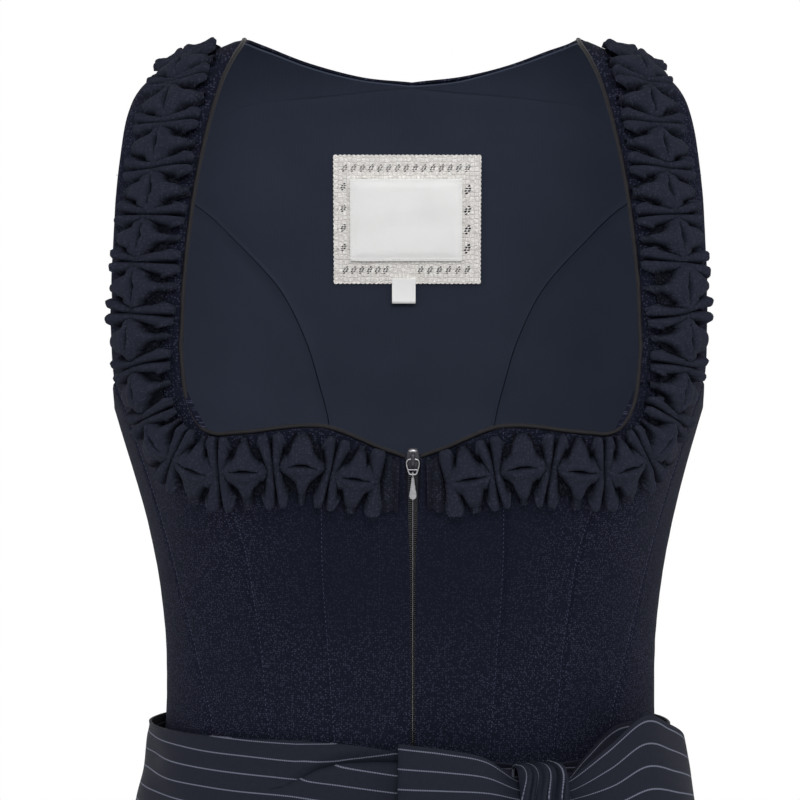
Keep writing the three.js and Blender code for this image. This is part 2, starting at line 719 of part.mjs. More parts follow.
function trimHeight(phase, across) {
  const toMouth = Math.min(phase, 1 - phase);
  const toRib = Math.abs(Math.abs(phase - 0.5) - 0.07);
  const lobe = Math.max(0, 1 - toMouth / 0.36) * (1 - 0.85 * Math.abs(across));
  const slit = Math.abs(across) < 0.1 ? 0.45 : 1;
  const rib = Math.max(0, 1 - toRib / 0.07) * (0.5 + 0.5 * Math.abs(across));
  const edge = Math.abs(across) > 0.9 ? 0.7 : 1;
  return Math.max(4.6 * lobe * slit, 5 * rib * edge);
}

const trimStations = [{ row: 0, phase: 0.37 }, { row: 1, phase: 0.37 }];
for (let unit = 1; unit < trimLine.length - 1; unit += 1) {
  const phases = unit === 1 ? unitPhases.slice(1) : unitPhases;
  if (unit > 1) phases.forEach((phase) => trimStations.push({ row: unit + phase, phase }));
  else phases.slice(1).forEach((phase) => trimStations.push({ row: 0.65 + phase * 1.35, phase }));
}
trimStations.push({ row: trimLine.length - 1, phase: 0.02 });
const trimSorted = trimStations.filter((station) => station.row <= trimLine.length - 1)
  .sort((a, b) => a.row - b.row)
  .filter((station, index, all) => index === 0 || station.row - all[index - 1].row > 0.02);
const trimCells = [];
const trimFaces = [];
trimSorted.forEach((station, index) => {
  const middle = {};
  for (const key of ['angle', 'level', 'upper', 'lower']) middle[key] = columnAt(trimLine, key, station.row);
  const centre = torsoPoint(middle.angle, middle.level);
  const ahead = torsoPoint(
    columnAt(trimLine, 'angle', station.row + 0.02),
    columnAt(trimLine, 'level', station.row + 0.02),
  );
  const along = ahead.sub(centre).normalize();
  const normal = torsoNormal(middle.angle, middle.level);
  const across = normal.clone().cross(along).normalize();
  const byAngle = torsoPoint(middle.angle + 0.5, middle.level).sub(torsoPoint(middle.angle - 0.5, middle.level));
  const byLevel = torsoPoint(middle.angle, middle.level + 0.05)
    .sub(torsoPoint(middle.angle, Math.max(middle.level - 0.05, 0)));
  const levelStep = middle.level > 0.05 ? 0.1 : 0.05 + middle.level;
  byLevel.divideScalar(levelStep);
  const aa = byAngle.dot(byAngle);
  const al = byAngle.dot(byLevel);
  const ll = byLevel.dot(byLevel);
  const determinant = aa * ll - al * al;
  const pa = across.dot(byAngle);
  const pl = across.dot(byLevel);
  const angleStep = (pa * ll - pl * al) / determinant;
  const levelRate = (pl * aa - pa * al) / determinant;
  const narrow = 1 - 0.12 * Math.max(0, 1 - Math.abs(Math.min(station.phase, 1 - station.phase) - 0.3) / 0.1);
  trimLevels.forEach((level) => {
    const reach = level * narrow * (level > 0 ? middle.upper : middle.lower);
    const point = {
      angle: middle.angle + angleStep * reach,
      level: Math.max(0.02, middle.level + levelRate * reach),
    };
    const height = clothThickness + 0.45 + trimHeight(station.phase, level);
    trimFaces.push([torsoPlace(point, height), torsoPlace(point, height + trimThickness)]);
  });
  if (index === 0) return;
  const here = index * trimLevels.length;
  for (let step = 0; step < trimLevels.length - 1; step += 1) {
    trimCells.push([here + step, here + step + 1, here + step + 1 - trimLevels.length, here + step - trimLevels.length]);
  }
});
addPair('ruched_trim', wallFromCells(trimFaces.length, trimCells, (index) => trimFaces[index]), colours.trim);

// Labels on the inner face of the back lining, placed by x and z
function backPlace(x, z) {
  let angle = 180;
  let level = 6;
  for (let pass = 0; pass < 8; pass += 1) {
    let low = 90;
    let high = 270;
    for (let step = 0; step < 24; step += 1) {
      angle = (low + high) / 2;
      if (torsoPoint(angle, level).x > x) low = angle;
      else high = angle;
    }
    low = 0;
    high = waistLevel;
    for (let step = 0; step < 24; step += 1) {
      level = (low + high) / 2;
      if (torsoPoint(angle, level).z > z) low = level;
      else high = level;
    }
  }
  return { angle, level };
}

function rectangleGrid(size, columns, rows) {
  const grid = [];
  for (let row = 0; row <= rows; row += 1) {
    const z = size.top + (size.bottom - size.top) * row / rows;
    const line = [];
    for (let column = 0; column <= columns; column += 1) {
      line.push(backPlace(size.left + (size.right - size.left) * column / columns, z));
    }
    grid.push(line);
  }
  return grid;
}

function rectangleLoop(size, perSide, bump) {
  const corners = [
    [size.left, size.top], [size.right, size.top], [size.right, size.bottom], [size.left, size.bottom],
  ];
  const loop = [];
  corners.forEach(([x, z], side) => {
    const [nextX, nextZ] = corners[(side + 1) % 4];
    for (let index = 0; index < perSide; index += 1) {
      const t = index / perSide;
      const outward = index % 2 === 1 ? -bump : 0;
      const dx = [0, -1, 0, 1][side] * -outward;
      const dz = [1, 0, -1, 0][side] * outward;
      loop.push(backPlace(x + (nextX - x) * t + dx * -1, z + (nextZ - z) * t + dz));
    }
  });
  return loop;
}

const labelNear = liningFar - labelGap;
const labelFar = labelNear - liningThickness;
const widened = {
  left: labelPanelSize.left - seamGap,
  right: labelPanelSize.right + seamGap,
  top: labelPanelSize.top + seamGap,
  bottom: labelPanelSize.bottom - seamGap,
};
const laceOuter = rectangleLoop(labelSize, 10, 1);
const laceInner = rectangleLoop(widened, 10, 0);
const laceGrid = [[...laceOuter, laceOuter[0]], [...laceInner, laceInner[0]]];
addPiece('label_lace', clothWall([laceGrid], torsoPlace, labelNear, labelFar), colours.lace);
addPiece('label_panel', clothWall([rectangleGrid(labelPanelSize, 6, 4)], torsoPlace, labelNear, labelFar), colours.label);
addPiece('size_tag', clothWall([rectangleGrid(tagSize, 1, 1)], torsoPlace, labelNear, labelFar), colours.label);

// Zip: tapes and chain lie just behind the edges of the front panels
const tapeNear = -seamGap;
const tapeFar = -seamGap - chainThickness;
function zipStrip(from, to, top) {
  const grid = [];
  for (let row = 0; row <= seamRows; row += 1) {
    const level = top + (waistLevel - top) * row / seamRows;
    const reach = torsoPoint(0.5, level).x * 2;
    grid.push([{ angle: from / reach, level }, { angle: to / reach, level }]);
  }
  return clothWall([grid], torsoPlace, tapeNear, tapeFar);
}
addPair('zip_tape', zipStrip(chainWidth / 2 + seamGap, chainWidth / 2 + zipTapeWidth, 10.4), colours.tape);
addPiece('zip_chain', zipStrip(-chainWidth / 2, chainWidth / 2, 10.4), colours.darkMetal);

// Zip slider, ring and pull, drawn in a plane where x runs out from the bodice
// and y runs down from the top of the slider
const sliderLevel = 10.2;
const sliderTop = torsoPoint(0, sliderLevel);
const sliderOut = torsoNormal(0, sliderLevel);
const sliderDown = new THREE.Vector3(1, 0, 0).cross(sliderOut).normalize();
const sliderLength = 9.8;
const sliderWidth = 6;
const linkHinge = { out: 2.35, down: 4.6 };
const linkLength = 7.2;

const sliderFrame = new THREE.Matrix4().makeBasis(sliderOut, sliderDown, new THREE.Vector3(1, 0, 0))
  .setPosition(sliderTop);
const hangPoint = new THREE.Vector3(linkHinge.out, linkHinge.down, 0).applyMatrix4(sliderFrame);
const hangFrame = new THREE.Matrix4().makeBasis(
  new THREE.Vector3(0, -1, 0),
  new THREE.Vector3(0, 0, -1),
  new THREE.Vector3(1, 0, 0),
).setPosition(hangPoint);

function slab(points, width) {
  const outline = new THREE.Shape(points.map(([out, down]) => new THREE.Vector2(out, down)));
  const geometry = new THREE.ExtrudeGeometry(outline, { depth: width, bevelEnabled: false });
  geometry.translate(0, 0, -width / 2);
  geometry.deleteAttribute('normal');
  geometry.deleteAttribute('uv');
  return mergeVertices(geometry, 1e-4);
}

const sliderBody = slab([
  [-3, 0], [1.4, 0], [1.4, sliderLength], [0.35, sliderLength], [0.35, 3], [-2, 3],
  [-2, sliderLength], [-3, sliderLength],
], sliderWidth);
const sliderBridge = slab([
  [1, 0.9], [4.3, 1.6], [4.3, 8.6], [1, 9.3], [1, 8.2], [3.3, 7.9], [3.3, 2.4], [1, 2.2],
], 2);
const sliderSolid = solidFrom(sliderBody).add(solidFrom(sliderBridge));
addPiece('zip_slider', geometryOf(sliderSolid).applyMatrix4(sliderFrame), colours.darkMetal);

function wireRing(points, radius) {
  const rings = points.map((point, index) => {
    const before = points[(index + points.length - 1) % points.length];
    const after = points[(index + 1) % points.length];
    const along = after.clone().sub(before).normalize();
    const outward = new THREE.Vector3(1, 0, 0);
    const side = along.clone().cross(outward).normalize();
    const ring = [];
    for (let turn = 0; turn < 6; turn += 1) {
      const angle = turn * Math.PI / 3;
      ring.push(point.clone().addScaledVector(outward, radius * Math.cos(angle))
        .addScaledVector(side, radius * Math.sin(angle)));
    }
    return ring;
  });
  return cord(rings, true);
}

const linkOutline = [
  [-2.5, 0], [-1, -0.1], [1, -0.1], [2.5, 0], [3, 0.8], [2.9, 3], [2.2, 5.4], [1.7, linkLength - 0.4],
  [1.1, linkLength], [-1.1, linkLength], [-1.7, linkLength - 0.4], [-2.2, 5.4], [-2.9, 3], [-3, 0.8],
].map(([x, down]) => new THREE.Vector3(0, down, x));
addPiece('zip_link', wireRing(linkOutline, pullWire / 2).applyMatrix4(hangFrame), colours.metal);

const eyeProfile = new THREE.Shape();
eyeProfile.absarc(0, linkLength, 1.65, 0, 2 * Math.PI);
const eyeHole = new THREE.Path();
eyeHole.absarc(0, linkLength, 0.95, 0, 2 * Math.PI);
eyeProfile.holes.push(eyeHole);
const eyeGeometry = new THREE.ExtrudeGeometry(eyeProfile, { depth: 1.2, bevelEnabled: false, curveSegments: 12 });
eyeGeometry.translate(0, 0, -0.6);
const pullOutline = new THREE.Shape([
  [-0.7, 1.3], [0.7, 1.3], [1.1, 5], [1.6, 9.6], [1.4, 11.4], [0.6, 12.2], [-0.6, 12.2], [-1.4, 11.4],
  [-1.6, 9.6], [-1.1, 5],
].map(([x, down]) => new THREE.Vector2(x, down)));
const pullGeometry = new THREE.ExtrudeGeometry(pullOutline, { depth: 1, bevelEnabled: false });
pullGeometry.applyMatrix4(new THREE.Matrix4().makeBasis(
  new THREE.Vector3(0, 0, 1),
  new THREE.Vector3(0, 1, 0),
  new THREE.Vector3(-1, 0, 0),
).setPosition(0.5, linkLength, 0));
const pullSolid = solidFrom(eyeGeometry).add(solidFrom(pullGeometry));
addPiece('zip_pull', geometryOf(pullSolid).applyMatrix4(hangFrame), colours.metal);

// Skirt: folds of uneven width, four columns to a fold
function foldAngle(column) {
  const target = column / (4 * foldCount) * 360;
  let low = target - 10;
  let high = target + 10;
  for (let step = 0; step < 30; step += 1) {
    const middle = (low + high) / 2;
    const value = middle + 1.5 * Math.sin(radians(4 * middle)) + 0.5 * Math.sin(radians(12 * middle));
    if (value < target) low = middle;
    else high = middle;
  }
  return (low + high) / 2;
}

function skirtPlace(point, out) {
  const wave = [-1, 0, 1, 0][((point.column % 4) + 4) % 4];
  const uneven = 1 + 0.22 * Math.sin(radians(5 * point.angle + 40)) + 0.14 * Math.sin(radians(9 * point.angle));
  const fold = columnAtDrop(skirtRings, 'fold', point.drop) * uneven * wave;
  return ringPoint(skirtRings, point.angle, point.drop, out + fold);
}

function skirtGrid(fromColumn, toColumn, drops) {
  return drops.map((drop) => {
    const line = [];
    for (let column = fromColumn; column <= toColumn; column += 1) {
      let angle = foldAngle(column);
      if (column === fromColumn) angle += half / 2.2;
      if (column === toColumn) angle -= half / 2.2;
      line.push({ column, angle, drop });
    }
    return line;
  });
}

const skirtDrops = skirtRings.map((ring) => ring.drop);
const skirtPanels = ['skirt_front_left', 'skirt_back_left', 'skirt_back_right', 'skirt_front_right'];
skirtPanels.forEach((name, index) => {
  const grid = skirtGrid(index * foldCount, (index + 1) * foldCount, skirtDrops);
  addPiece(name, clothWall([grid], skirtPlace, 0, clothThickness), colours.skirt);
});

// Apron: its panel lies on the skirt and its band on the waist
const apronNear = clothThickness + 0.5;
const apronDrops = [372.3, ...skirtDrops.slice(2, 7)];
const apronGrid = skirtGrid(-apronHalfColumns, apronHalfColumns, apronDrops);
addPiece('apron_panel', clothWall([apronGrid], skirtPlace, apronNear, apronNear + 1), colours.sash);

function ringGrid(rings, from, to, step) {
  return rings.map(({ drop }) => {
    const line = [];
    for (let angle = from; angle <= to; angle += step) line.push({ angle, drop });
    return line;
  });
}
const ringPlace = (rings) => (point, out) => ringPoint(rings, point.angle, point.drop, out);
const bandGrid = ringGrid(apronBandRings, -80, 80, 10);
addPiece('apron_band', clothWall([bandGrid], ringPlace(apronBandRings), 0, clothThickness), colours.sash);

const sashGrid = ringGrid(sashRings, -180, 180, 9);
const sashFoot = sashRings[sashRings.length - 1].drop;
sashGrid.flat().forEach((point) => {
  const edge = columnBy(sashTop, 'angle', 'drop', point.angle);
  point.drop = sashFoot - (sashFoot - point.drop) * (sashFoot - edge) / (sashFoot - sashRings[0].drop);
});
addPiece('sash', clothWall([sashGrid], ringPlace(sashRings), 0, sashThickness), colours.sash);

// Bow: loops, knot and tails
const sashPlace = (angle, drop, out) => ringPoint(sashRings, angle, drop, out + sashThickness);

function loopGrid(stations, rows, ripple) {
  const count = (stations.length - 1) * 2;
  const grid = [];
  for (let index = 0; index <= count; index += 1) {
    const row = index / 2;
    const line = [];
    for (let step = 0; step <= rows; step += 1) {
      const t = step / rows;
      const top = columnAt(stations, 'top', row);
      const bottom = columnAt(stations, 'bottom', row);
      const swell = ripple * Math.sin(Math.PI * t) * Math.sin(Math.PI * Math.min(1, index / count));
      line.push(sashPlace(
        columnAt(stations, 'angle', row),
        top + (bottom - top) * t,
        columnAt(stations, 'out', row) + (row < stations.length / 2 ? swell : 0),
      ));
    }
    grid.push(line);
  }
  return grid;
}

addPiece('bow_loop_inner', stripWall(loopGrid(innerLoop, 4, 2), bowThickness), colours.sash);
addPiece('bow_loop_outer', stripWall(loopGrid(outerLoop, 4, 3), bowThickness), colours.sash);

const knotGrid = [];
for (let index = 0; index < 16; index += 1) {
  const turn = (index + 0.5) * Math.PI / 8;
  const squarer = (value) => Math.sign(value) * Math.abs(value) ** 0.5;
  const line = [];
  for (let step = 0; step <= 4; step += 1) {
    const waist = 1 - 0.05 * Math.sin(Math.PI * step / 4);
    line.push(sashPlace(
      knot.from + (knot.to - knot.from) * step / 4,
      knot.drop + knot.halfDrop * waist * squarer(Math.sin(turn)),
      knot.out + knot.halfOut * squarer(Math.cos(turn)),
    ));
  }
  knotGrid.push(line);
}
addPiece('bow_knot', stripWall(knotGrid, bowThickness, true), colours.sash);

function tailGrid(stations) {
  const count = (stations.length - 1) * 2;
  const grid = [];
  for (let index = 0; index <= count; index += 1) {
    const row = index / 2;
    const drop = columnAt(stations, 'drop', row);
    const angle = columnAt(stations, 'angle', row);
    const width = columnAt(stations, 'width', row);
    const out = columnAt(stations, 'out', row);
    const reach = ringPoint(skirtRings, angle + 0.5, drop, out)
      .distanceTo(ringPoint(skirtRings, angle - 0.5, drop, out));
    const line = [];
    for (let step = 0; step <= 4; step += 1) {
      const t = step / 4 - 0.5;
      const curl = 1.5 * Math.cos(2 * Math.PI * t);
      line.push(ringPoint(skirtRings, angle + t * width / reach, drop, out + curl));
    }
    grid.push(line);
  }
  return grid;
}
addPiece('bow_tail_inner', stripWall(tailGrid(innerTail), bowThickness), colours.sash);
addPiece('bow_tail_outer', stripWall(tailGrid(outerTail), bowThickness), colours.sash);

export default dirndl;
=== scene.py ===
import json
import math

import bmesh
import bpy
import numpy as np
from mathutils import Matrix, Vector
from mathutils.bvhtree import BVHTree
from mathutils.geometry import delaunay_2d_cdt

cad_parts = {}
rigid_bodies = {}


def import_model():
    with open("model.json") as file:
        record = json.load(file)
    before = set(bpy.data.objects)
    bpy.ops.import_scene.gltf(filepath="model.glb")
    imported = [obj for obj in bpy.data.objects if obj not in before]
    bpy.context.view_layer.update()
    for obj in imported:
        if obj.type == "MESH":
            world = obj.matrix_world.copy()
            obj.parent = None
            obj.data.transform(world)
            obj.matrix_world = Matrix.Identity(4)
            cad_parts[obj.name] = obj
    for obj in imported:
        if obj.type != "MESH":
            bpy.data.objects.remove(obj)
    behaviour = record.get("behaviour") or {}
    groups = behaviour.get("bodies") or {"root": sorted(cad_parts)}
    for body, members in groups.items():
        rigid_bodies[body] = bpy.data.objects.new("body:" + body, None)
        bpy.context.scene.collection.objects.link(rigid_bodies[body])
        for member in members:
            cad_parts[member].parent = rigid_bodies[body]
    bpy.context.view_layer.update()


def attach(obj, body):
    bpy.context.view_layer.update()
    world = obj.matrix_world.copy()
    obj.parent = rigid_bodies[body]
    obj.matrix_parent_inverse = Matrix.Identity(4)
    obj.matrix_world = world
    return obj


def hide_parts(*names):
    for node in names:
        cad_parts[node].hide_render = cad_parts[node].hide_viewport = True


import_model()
scene = bpy.context.scene
millimetre = 0.001


def table(names, rows):
    return dict(zip(names.split(), np.array(rows, float).T))


# The bodice's own form: rings below the shoulder line, in millimetres
torsoRings = table("drop half front back square", [
    (0, 164, 0, 0, 0.3), (2, 164, 15, 15, 0.3), (8, 164, 31, 30, 0.3), (20, 164, 49, 47, 0.3),
    (38, 164, 66, 62, 0.3), (60, 164, 80, 74, 0.3), (85, 163, 92, 84, 0.3), (112, 161.5, 101, 92, 0.3),
    (140, 157, 107, 98, 0.28), (166, 150, 110, 101, 0.24), (190, 143, 110, 102, 0.19),
    (215, 136, 107, 100, 0.15), (240, 130, 101, 96, 0.12), (268, 124.5, 95, 91, 0.11),
    (296, 121.2, 89.5, 86, 0.1), (324, 120.6, 86.5, 83, 0.1), (352, 121.5, 85.5, 82, 0.1),
])
waistLevel = 16
bust = {"lift": 13, "angle": 38, "spread": 20, "drop": 205, "height": 46}
strap = {"start": 84, "slope": 0.44, "fade": 170}

# Edges and seams as (angle round the body in degrees, level in torso rings)
zipEdge = table("angle level", [(1.35, 10.38), (1.3, 10.9), (0.95, 11.5), (0.62, 12.3), (0.52, 13.1), (0.48, 14.2),
    (0.48, 16)])
neckCentre = table("angle level", [(1.35, 10.38), (4.1, 10.27), (5.8, 10.2), (9.6, 9.99), (12.4, 9.85), (15, 9.78)])
neckSide = table("angle level", [(15, 9.78), (19.2, 9.79), (24.9, 9.88), (29.4, 9.93), (32.6, 9.96), (35.2, 9.88),
    (36.8, 9.67), (37.9, 9.33), (38.1, 8.96)])
strapInner = table("angle level", [(24.2, 0.01), (24.5, 1), (26, 1.9), (27.2, 2.46), (28.1, 2.93), (29.6, 3.69),
    (30.8, 4.36), (31.7, 4.89), (33.3, 5.9), (34.6, 6.87), (36.3, 7.8), (37.4, 8.28),
    (38.1, 8.96)])
strapOuter = table("angle level", [(43, 0.01), (44.8, 1), (47.7, 2.2), (49.6, 3.26), (51, 4.38),
    (52, 5.4), (53.3, 6.36), (54.8, 7.26)])
armholeFront = table("angle level", [(54.8, 7.26), (58.6, 8.11), (65.6, 8.96)])
armholeSide = table("angle level", [(65.6, 8.96), (76, 9.5), (90, 9.75)])
armholeBack = table("angle level", [(90, 9.75), (100, 9.45), (108, 8.9), (115, 8.1), (120, 7.3),
    (123, 6.4), (125, 5.4), (126, 4.3)])
innerFrontSeam = table("angle level", [(15, 9.78), (15.8, 10.41), (17.3, 11.5), (18.4, 12.36),
    (18.8, 13.1), (18.7, 13.8), (18.2, 14.67), (17.3, 15.55), (16.8, 16)])
middleFrontSeam = table("angle level", [(54.8, 7.26), (49, 8.2), (43, 9.1), (38.3, 10), (35.3, 10.8),
    (34.1, 11.5), (34.5, 12.4), (35.1, 13.1), (34.9, 14), (34.2, 14.9), (33, 15.6), (32.3, 16)])
outerFrontSeam = table("angle level", [(65.6, 8.96), (63.5, 10), (62.2, 11.2), (62.6, 12.2),
    (61.8, 13.1), (59, 13.95), (54.5, 14.8), (51.8, 15.3), (50, 16)])
sideSeam = table("angle level", [(90, 9.75), (90, 12), (90, 16)])
backSeam = table("angle level", [(126, 4.3), (131.5, 4.65), (138.5, 5.1), (146.3, 5.72), (154.2, 6.72),
    (160.3, 7.59), (163.2, 8.55), (164.3, 9.6), (164.8, 10.4), (165, 12), (165, 14), (165, 16)])
backNeck = table("angle level", [(155.8, 0.01), (157.8, 1.1), (161.2, 1.85), (166, 2.45), (173, 2.95), (180, 3.15)])
backShoulder = table("angle level", [(137, 0.01), (134, 1.1), (131.3, 2), (129, 2.8), (127.3, 3.6), (126, 4.3)])


def smoothAt(values, place, before=None):
    # smooth curve through evenly numbered values
    first = 2 * values[0] - values[1] if before is None else before
    padded = np.concatenate([[first], values, [2 * values[-1] - values[-2]]])
    base = np.clip(np.floor(place).astype(int), 0, len(values) - 2)
    t = place - base
    a, b, c, d = padded[base], padded[base + 1], padded[base + 2], padded[base + 3]
    return 0.5 * (2 * b + (c - a) * t + (2 * a - 5 * b + 4 * c - d) * t * t + (3 * b - a - 3 * c + d) * t ** 3)


def torsoPoint(angle, level):
    angle, level = np.broadcast_arrays(np.asarray(angle, float), np.asarray(level, float))
    sine, cosine = np.sin(np.radians(angle)), np.cos(np.radians(angle))
    rings = torsoRings
    drop = smoothAt(rings["drop"], level, rings["drop"][1])
    square = smoothAt(rings["square"], level, rings["square"][1])
    half = smoothAt(rings["half"], level, rings["half"][1])
    front = smoothAt(rings["front"], level, -rings["back"][1])
    back = smoothAt(rings["back"], level, -rings["front"][1])
    depth = np.where(cosine > 0, front, back)
    x = half * sine * (1 + square * cosine ** 2)
    y = -depth * cosine * (1 + square * sine ** 2)
    sideways = (np.abs(angle) - bust["angle"]) / bust["spread"]
    downward = (drop - bust["drop"]) / bust["height"]
    lift = np.where(cosine > 0, bust["lift"] * np.exp(-sideways ** 2 - downward ** 2), 0)
    x, y = x + lift * sine, y - lift * cosine
    fade = np.clip(drop / strap["fade"], 0, 1)
    fade = 1 - fade * fade * (3 - 2 * fade)
    z = -drop - strap["slope"] * np.maximum(0, np.abs(x) - strap["start"]) * fade
    return np.stack([x, y, z], -1)


def unit(vectors):
    return vectors / np.maximum(np.linalg.norm(vectors, axis=-1, keepdims=True), 1e-9)


def torsoNormal(angle, level):
    angle, level = np.broadcast_arrays(np.asarray(angle, float), np.asarray(level, float))
    along = torsoPoint(angle + 0.05, level) - torsoPoint(angle - 0.05, level)
    down = torsoPoint(angle, level + 0.005) - torsoPoint(angle, np.maximum(level - 0.005, 0))
    return unit(np.cross(down, along))


def torsoPlace(angle, level, out):
    return torsoPoint(angle, level) + torsoNormal(angle, level) * np.asarray(out)[..., None]


def runningLength(points):
    # length along a row of points up to each of them
    return np.concatenate([[0], np.cumsum(np.linalg.norm(np.diff(points, axis=0), axis=1))])


def along(line, shares):
    # points of a line at shares of its length on the torso
    count = len(line["angle"])
    place = np.linspace(0, count - 1, 40 * (count - 1) + 1)
    columns = {name: smoothAt(values, place) for name, values in line.items()}
    length = runningLength(torsoPoint(columns["angle"], columns["level"]))
    return {name: np.interp(np.asarray(shares) * length[-1], length, values) for name, values in columns.items()}


def lineBetween(start, end, shares):
    return {name: start[name] + (end[name] - start[name]) * np.asarray(shares) for name in ("angle", "level")}


def pointOf(line, index):
    return {name: line[name][index] for name in ("angle", "level")}


def boundedGrid(top, bottom, left, right, u, v):
    u, v = np.asarray(u)[None, :], np.asarray(v)[:, None]
    grid = {}
    for name in ("angle", "level"):
        t, b, l, r = top[name], bottom[name], left[name], right[name]
        grid[name] = ((1 - v) * t[None, :] + v * b[None, :] + (1 - u) * l[:, None] + u * r[:, None]
            - (1 - v) * ((1 - u) * t[0] + u * t[-1]) - v * ((1 - u) * b[0] + u * b[-1]))
    return grid


def ruledGrid(left, right, u):
    u = np.asarray(u)[None, :]
    return {name: left[name][:, None] * (1 - u) + right[name][:, None] * u for name in ("angle", "level")}


def closeEnds(count, edge=(0.012, 0.03, 0.06)):
    # even shares with a few closer to both ends, where the cloth turns into its seams
    middle = np.linspace(0, 1, count + 1)[1:-1]
    ends = [share for share in edge if share < middle[0]]
    return np.concatenate([[0], ends, middle, [1 - share for share in reversed(ends)], [1]])


def softNoise(points, wave, seed, stretch=(1, 1, 1)):
    generator = np.random.default_rng(seed)
    total = np.zeros(points.shape[:-1])
    for _ in range(6):
        direction = unit(generator.normal(size=3)) * np.array(stretch)
        turns = 2 * math.pi / (wave * generator.uniform(0.7, 1.4))
        total += np.sin(points @ direction * turns + generator.uniform(0, 2 * math.pi))
    return total / 3


def edgeDistance(points, sides="lr"):
    # distance of each grid point to the named edges, along its row or column
    across = np.linalg.norm(np.diff(points, axis=1), axis=2)
    down = np.linalg.norm(np.diff(points, axis=0), axis=2)
    left = np.concatenate([np.zeros((len(points), 1)), np.cumsum(across, 1)], 1)
    top = np.concatenate([np.zeros((1, points.shape[1])), np.cumsum(down, 0)], 0)
    choices = {"l": left, "r": left[:, -1:] - left, "t": top, "b": top[-1:] - top}
    return np.min([choices[side] for side in sides], axis=0)


def clothUv(grid):
    # threads run round the body and straight down
    return np.stack([np.radians(grid["angle"]) * 0.13, torsoPoint(grid["angle"], grid["level"])[..., 2] * 0.001], -1)


def sheetMesh(name, pieces, flip=False):
    # one mesh from point grids in millimetres that share edges, each with its own uv grid
    vertices, faces, uvs, start = [], [], [], 0
    for points, uv in pieces:
        rows, columns = points.shape[:2]
        index = np.arange(rows * columns).reshape(rows, columns) + start
        quads = np.stack([index[:-1, :-1], index[1:, :-1], index[1:, 1:], index[:-1, 1:]], -1).reshape(-1, 4)
        faces.append(quads[:, ::-1] if flip else quads)
        vertices.append(points.reshape(-1, 3))
        uvs.append(uv.reshape(-1, 2))
        start += rows * columns
    vertices, faces, uvs = np.concatenate(vertices), np.concatenate(faces), np.concatenate(uvs)
    mesh = bpy.data.meshes.new(name)
    mesh.from_pydata((vertices * millimetre).tolist(), [], faces.tolist())
    layer = mesh.uv_layers.new(name="cloth")
    layer.data.foreach_set("uv", uvs[faces.ravel()].astype(np.float32).ravel())
    work = bmesh.new()
    work.from_mesh(mesh)
    bmesh.ops.remove_doubles(work, verts=work.verts, dist=2e-6)
    work.to_mesh(mesh)
    work.free()
    mesh.polygons.foreach_set("use_smooth", np.ones(len(mesh.polygons), bool))
    return mesh


def addObject(mesh, material):
    piece = bpy.data.objects.new(mesh.name, mesh)
    scene.collection.objects.link(piece)
    mesh.materials.clear()
    mesh.materials.append(material)
    return piece


def applied(piece):
    # the evaluated mesh in place of the piece's modifiers
    bpy.context.view_layer.update()
    finished = bpy.data.meshes.new_from_object(piece.evaluated_get(bpy.context.evaluated_depsgraph_get()))
    finished.name = piece.name
    piece.modifiers.clear()
    piece.data = finished
    return piece


def thickened(piece, thickness, offset, sharp=50):
    wall = piece.modifiers.new("thickness", "SOLIDIFY")
    wall.thickness = thickness * millimetre
    wall.offset = offset
    wall.use_even_offset = False
    applied(piece)
    piece.data.polygons.foreach_set("use_smooth", np.ones(len(piece.data.polygons), bool))
    piece.data.set_sharp_from_angle(angle=math.radians(sharp))
    return piece


sideways = {"shift": 2, "reach": 160}


def sideShift(x):
    # the whole garment sits a little to one side of its zip
    return sideways["shift"] * (x / sideways["reach"]) ** 2


def dress(piece, body, slot, *nodes):
    places = np.empty(3 * len(piece.data.vertices), np.float32)
    piece.data.vertices.foreach_get("co", places)
    places[::3] -= sideShift(places[::3] / millimetre) * millimetre
    piece.data.vertices.foreach_set("co", places)
    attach(piece, body)
    if nodes:
        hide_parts(*nodes)
    return piece


# Shader nodes as expressions
class Value:
    def __init__(self, tree, socket):
        self.tree, self.socket = tree, socket

    def math(self, operation, other=None):
        node = self.tree.nodes.new("ShaderNodeMath")
        node.operation = operation
        for item, entry in zip([self] if other is None else [self, other], node.inputs):
            if isinstance(item, Value):
                self.tree.links.new(item.socket, entry)
            else:
                entry.default_value = item
        return Value(self.tree, node.outputs[0])

    def __add__(self, other): return self.math("ADD", other)
    def __sub__(self, other): return self.math("SUBTRACT", other)
    def __mul__(self, other): return self.math("MULTIPLY", other)
    def __truediv__(self, other): return self.math("DIVIDE", other)

    def absolute(self): return self.math("ABSOLUTE")
    def fraction(self): return self.math("FRACT")
    def least(self, other): return self.math("MINIMUM", other)

    def waves(self, pitch):
        # a sine that repeats once each pitch
        return (self * (2 * math.pi / pitch)).math("SINE")

    def fade(self, low, high):
        # 0 below low and 1 above high, or the other way round
        node = self.tree.nodes.new("ShaderNodeMapRange")
        node.interpolation_type = "SMOOTHSTEP"
        self.tree.links.new(self.socket, node.inputs["Value"])
        node.inputs["From Min"].default_value, node.inputs["From Max"].default_value = min(low, high), max(low, high)
        node.inputs["To Min"].default_value, node.inputs["To Max"].default_value = (0, 1) if low < high else (1, 0)
        return Value(self.tree, node.outputs["Result"])


def addNode(tree, kind, settings=None, output=0, **inputs):
    node = tree.nodes.new(kind)
    for name, value in (settings or {}).items():
        setattr(node, name, value)
    for name, value in inputs.items():
        numbered = name[0] == "i" and name[1:].isdigit()
        entry = node.inputs[int(name[1:]) if numbered else name.replace("_", " ")]
        if isinstance(value, Value):
            tree.links.new(value.socket, entry)
        else:
            entry.default_value = value
    return Value(tree, node.outputs[output])


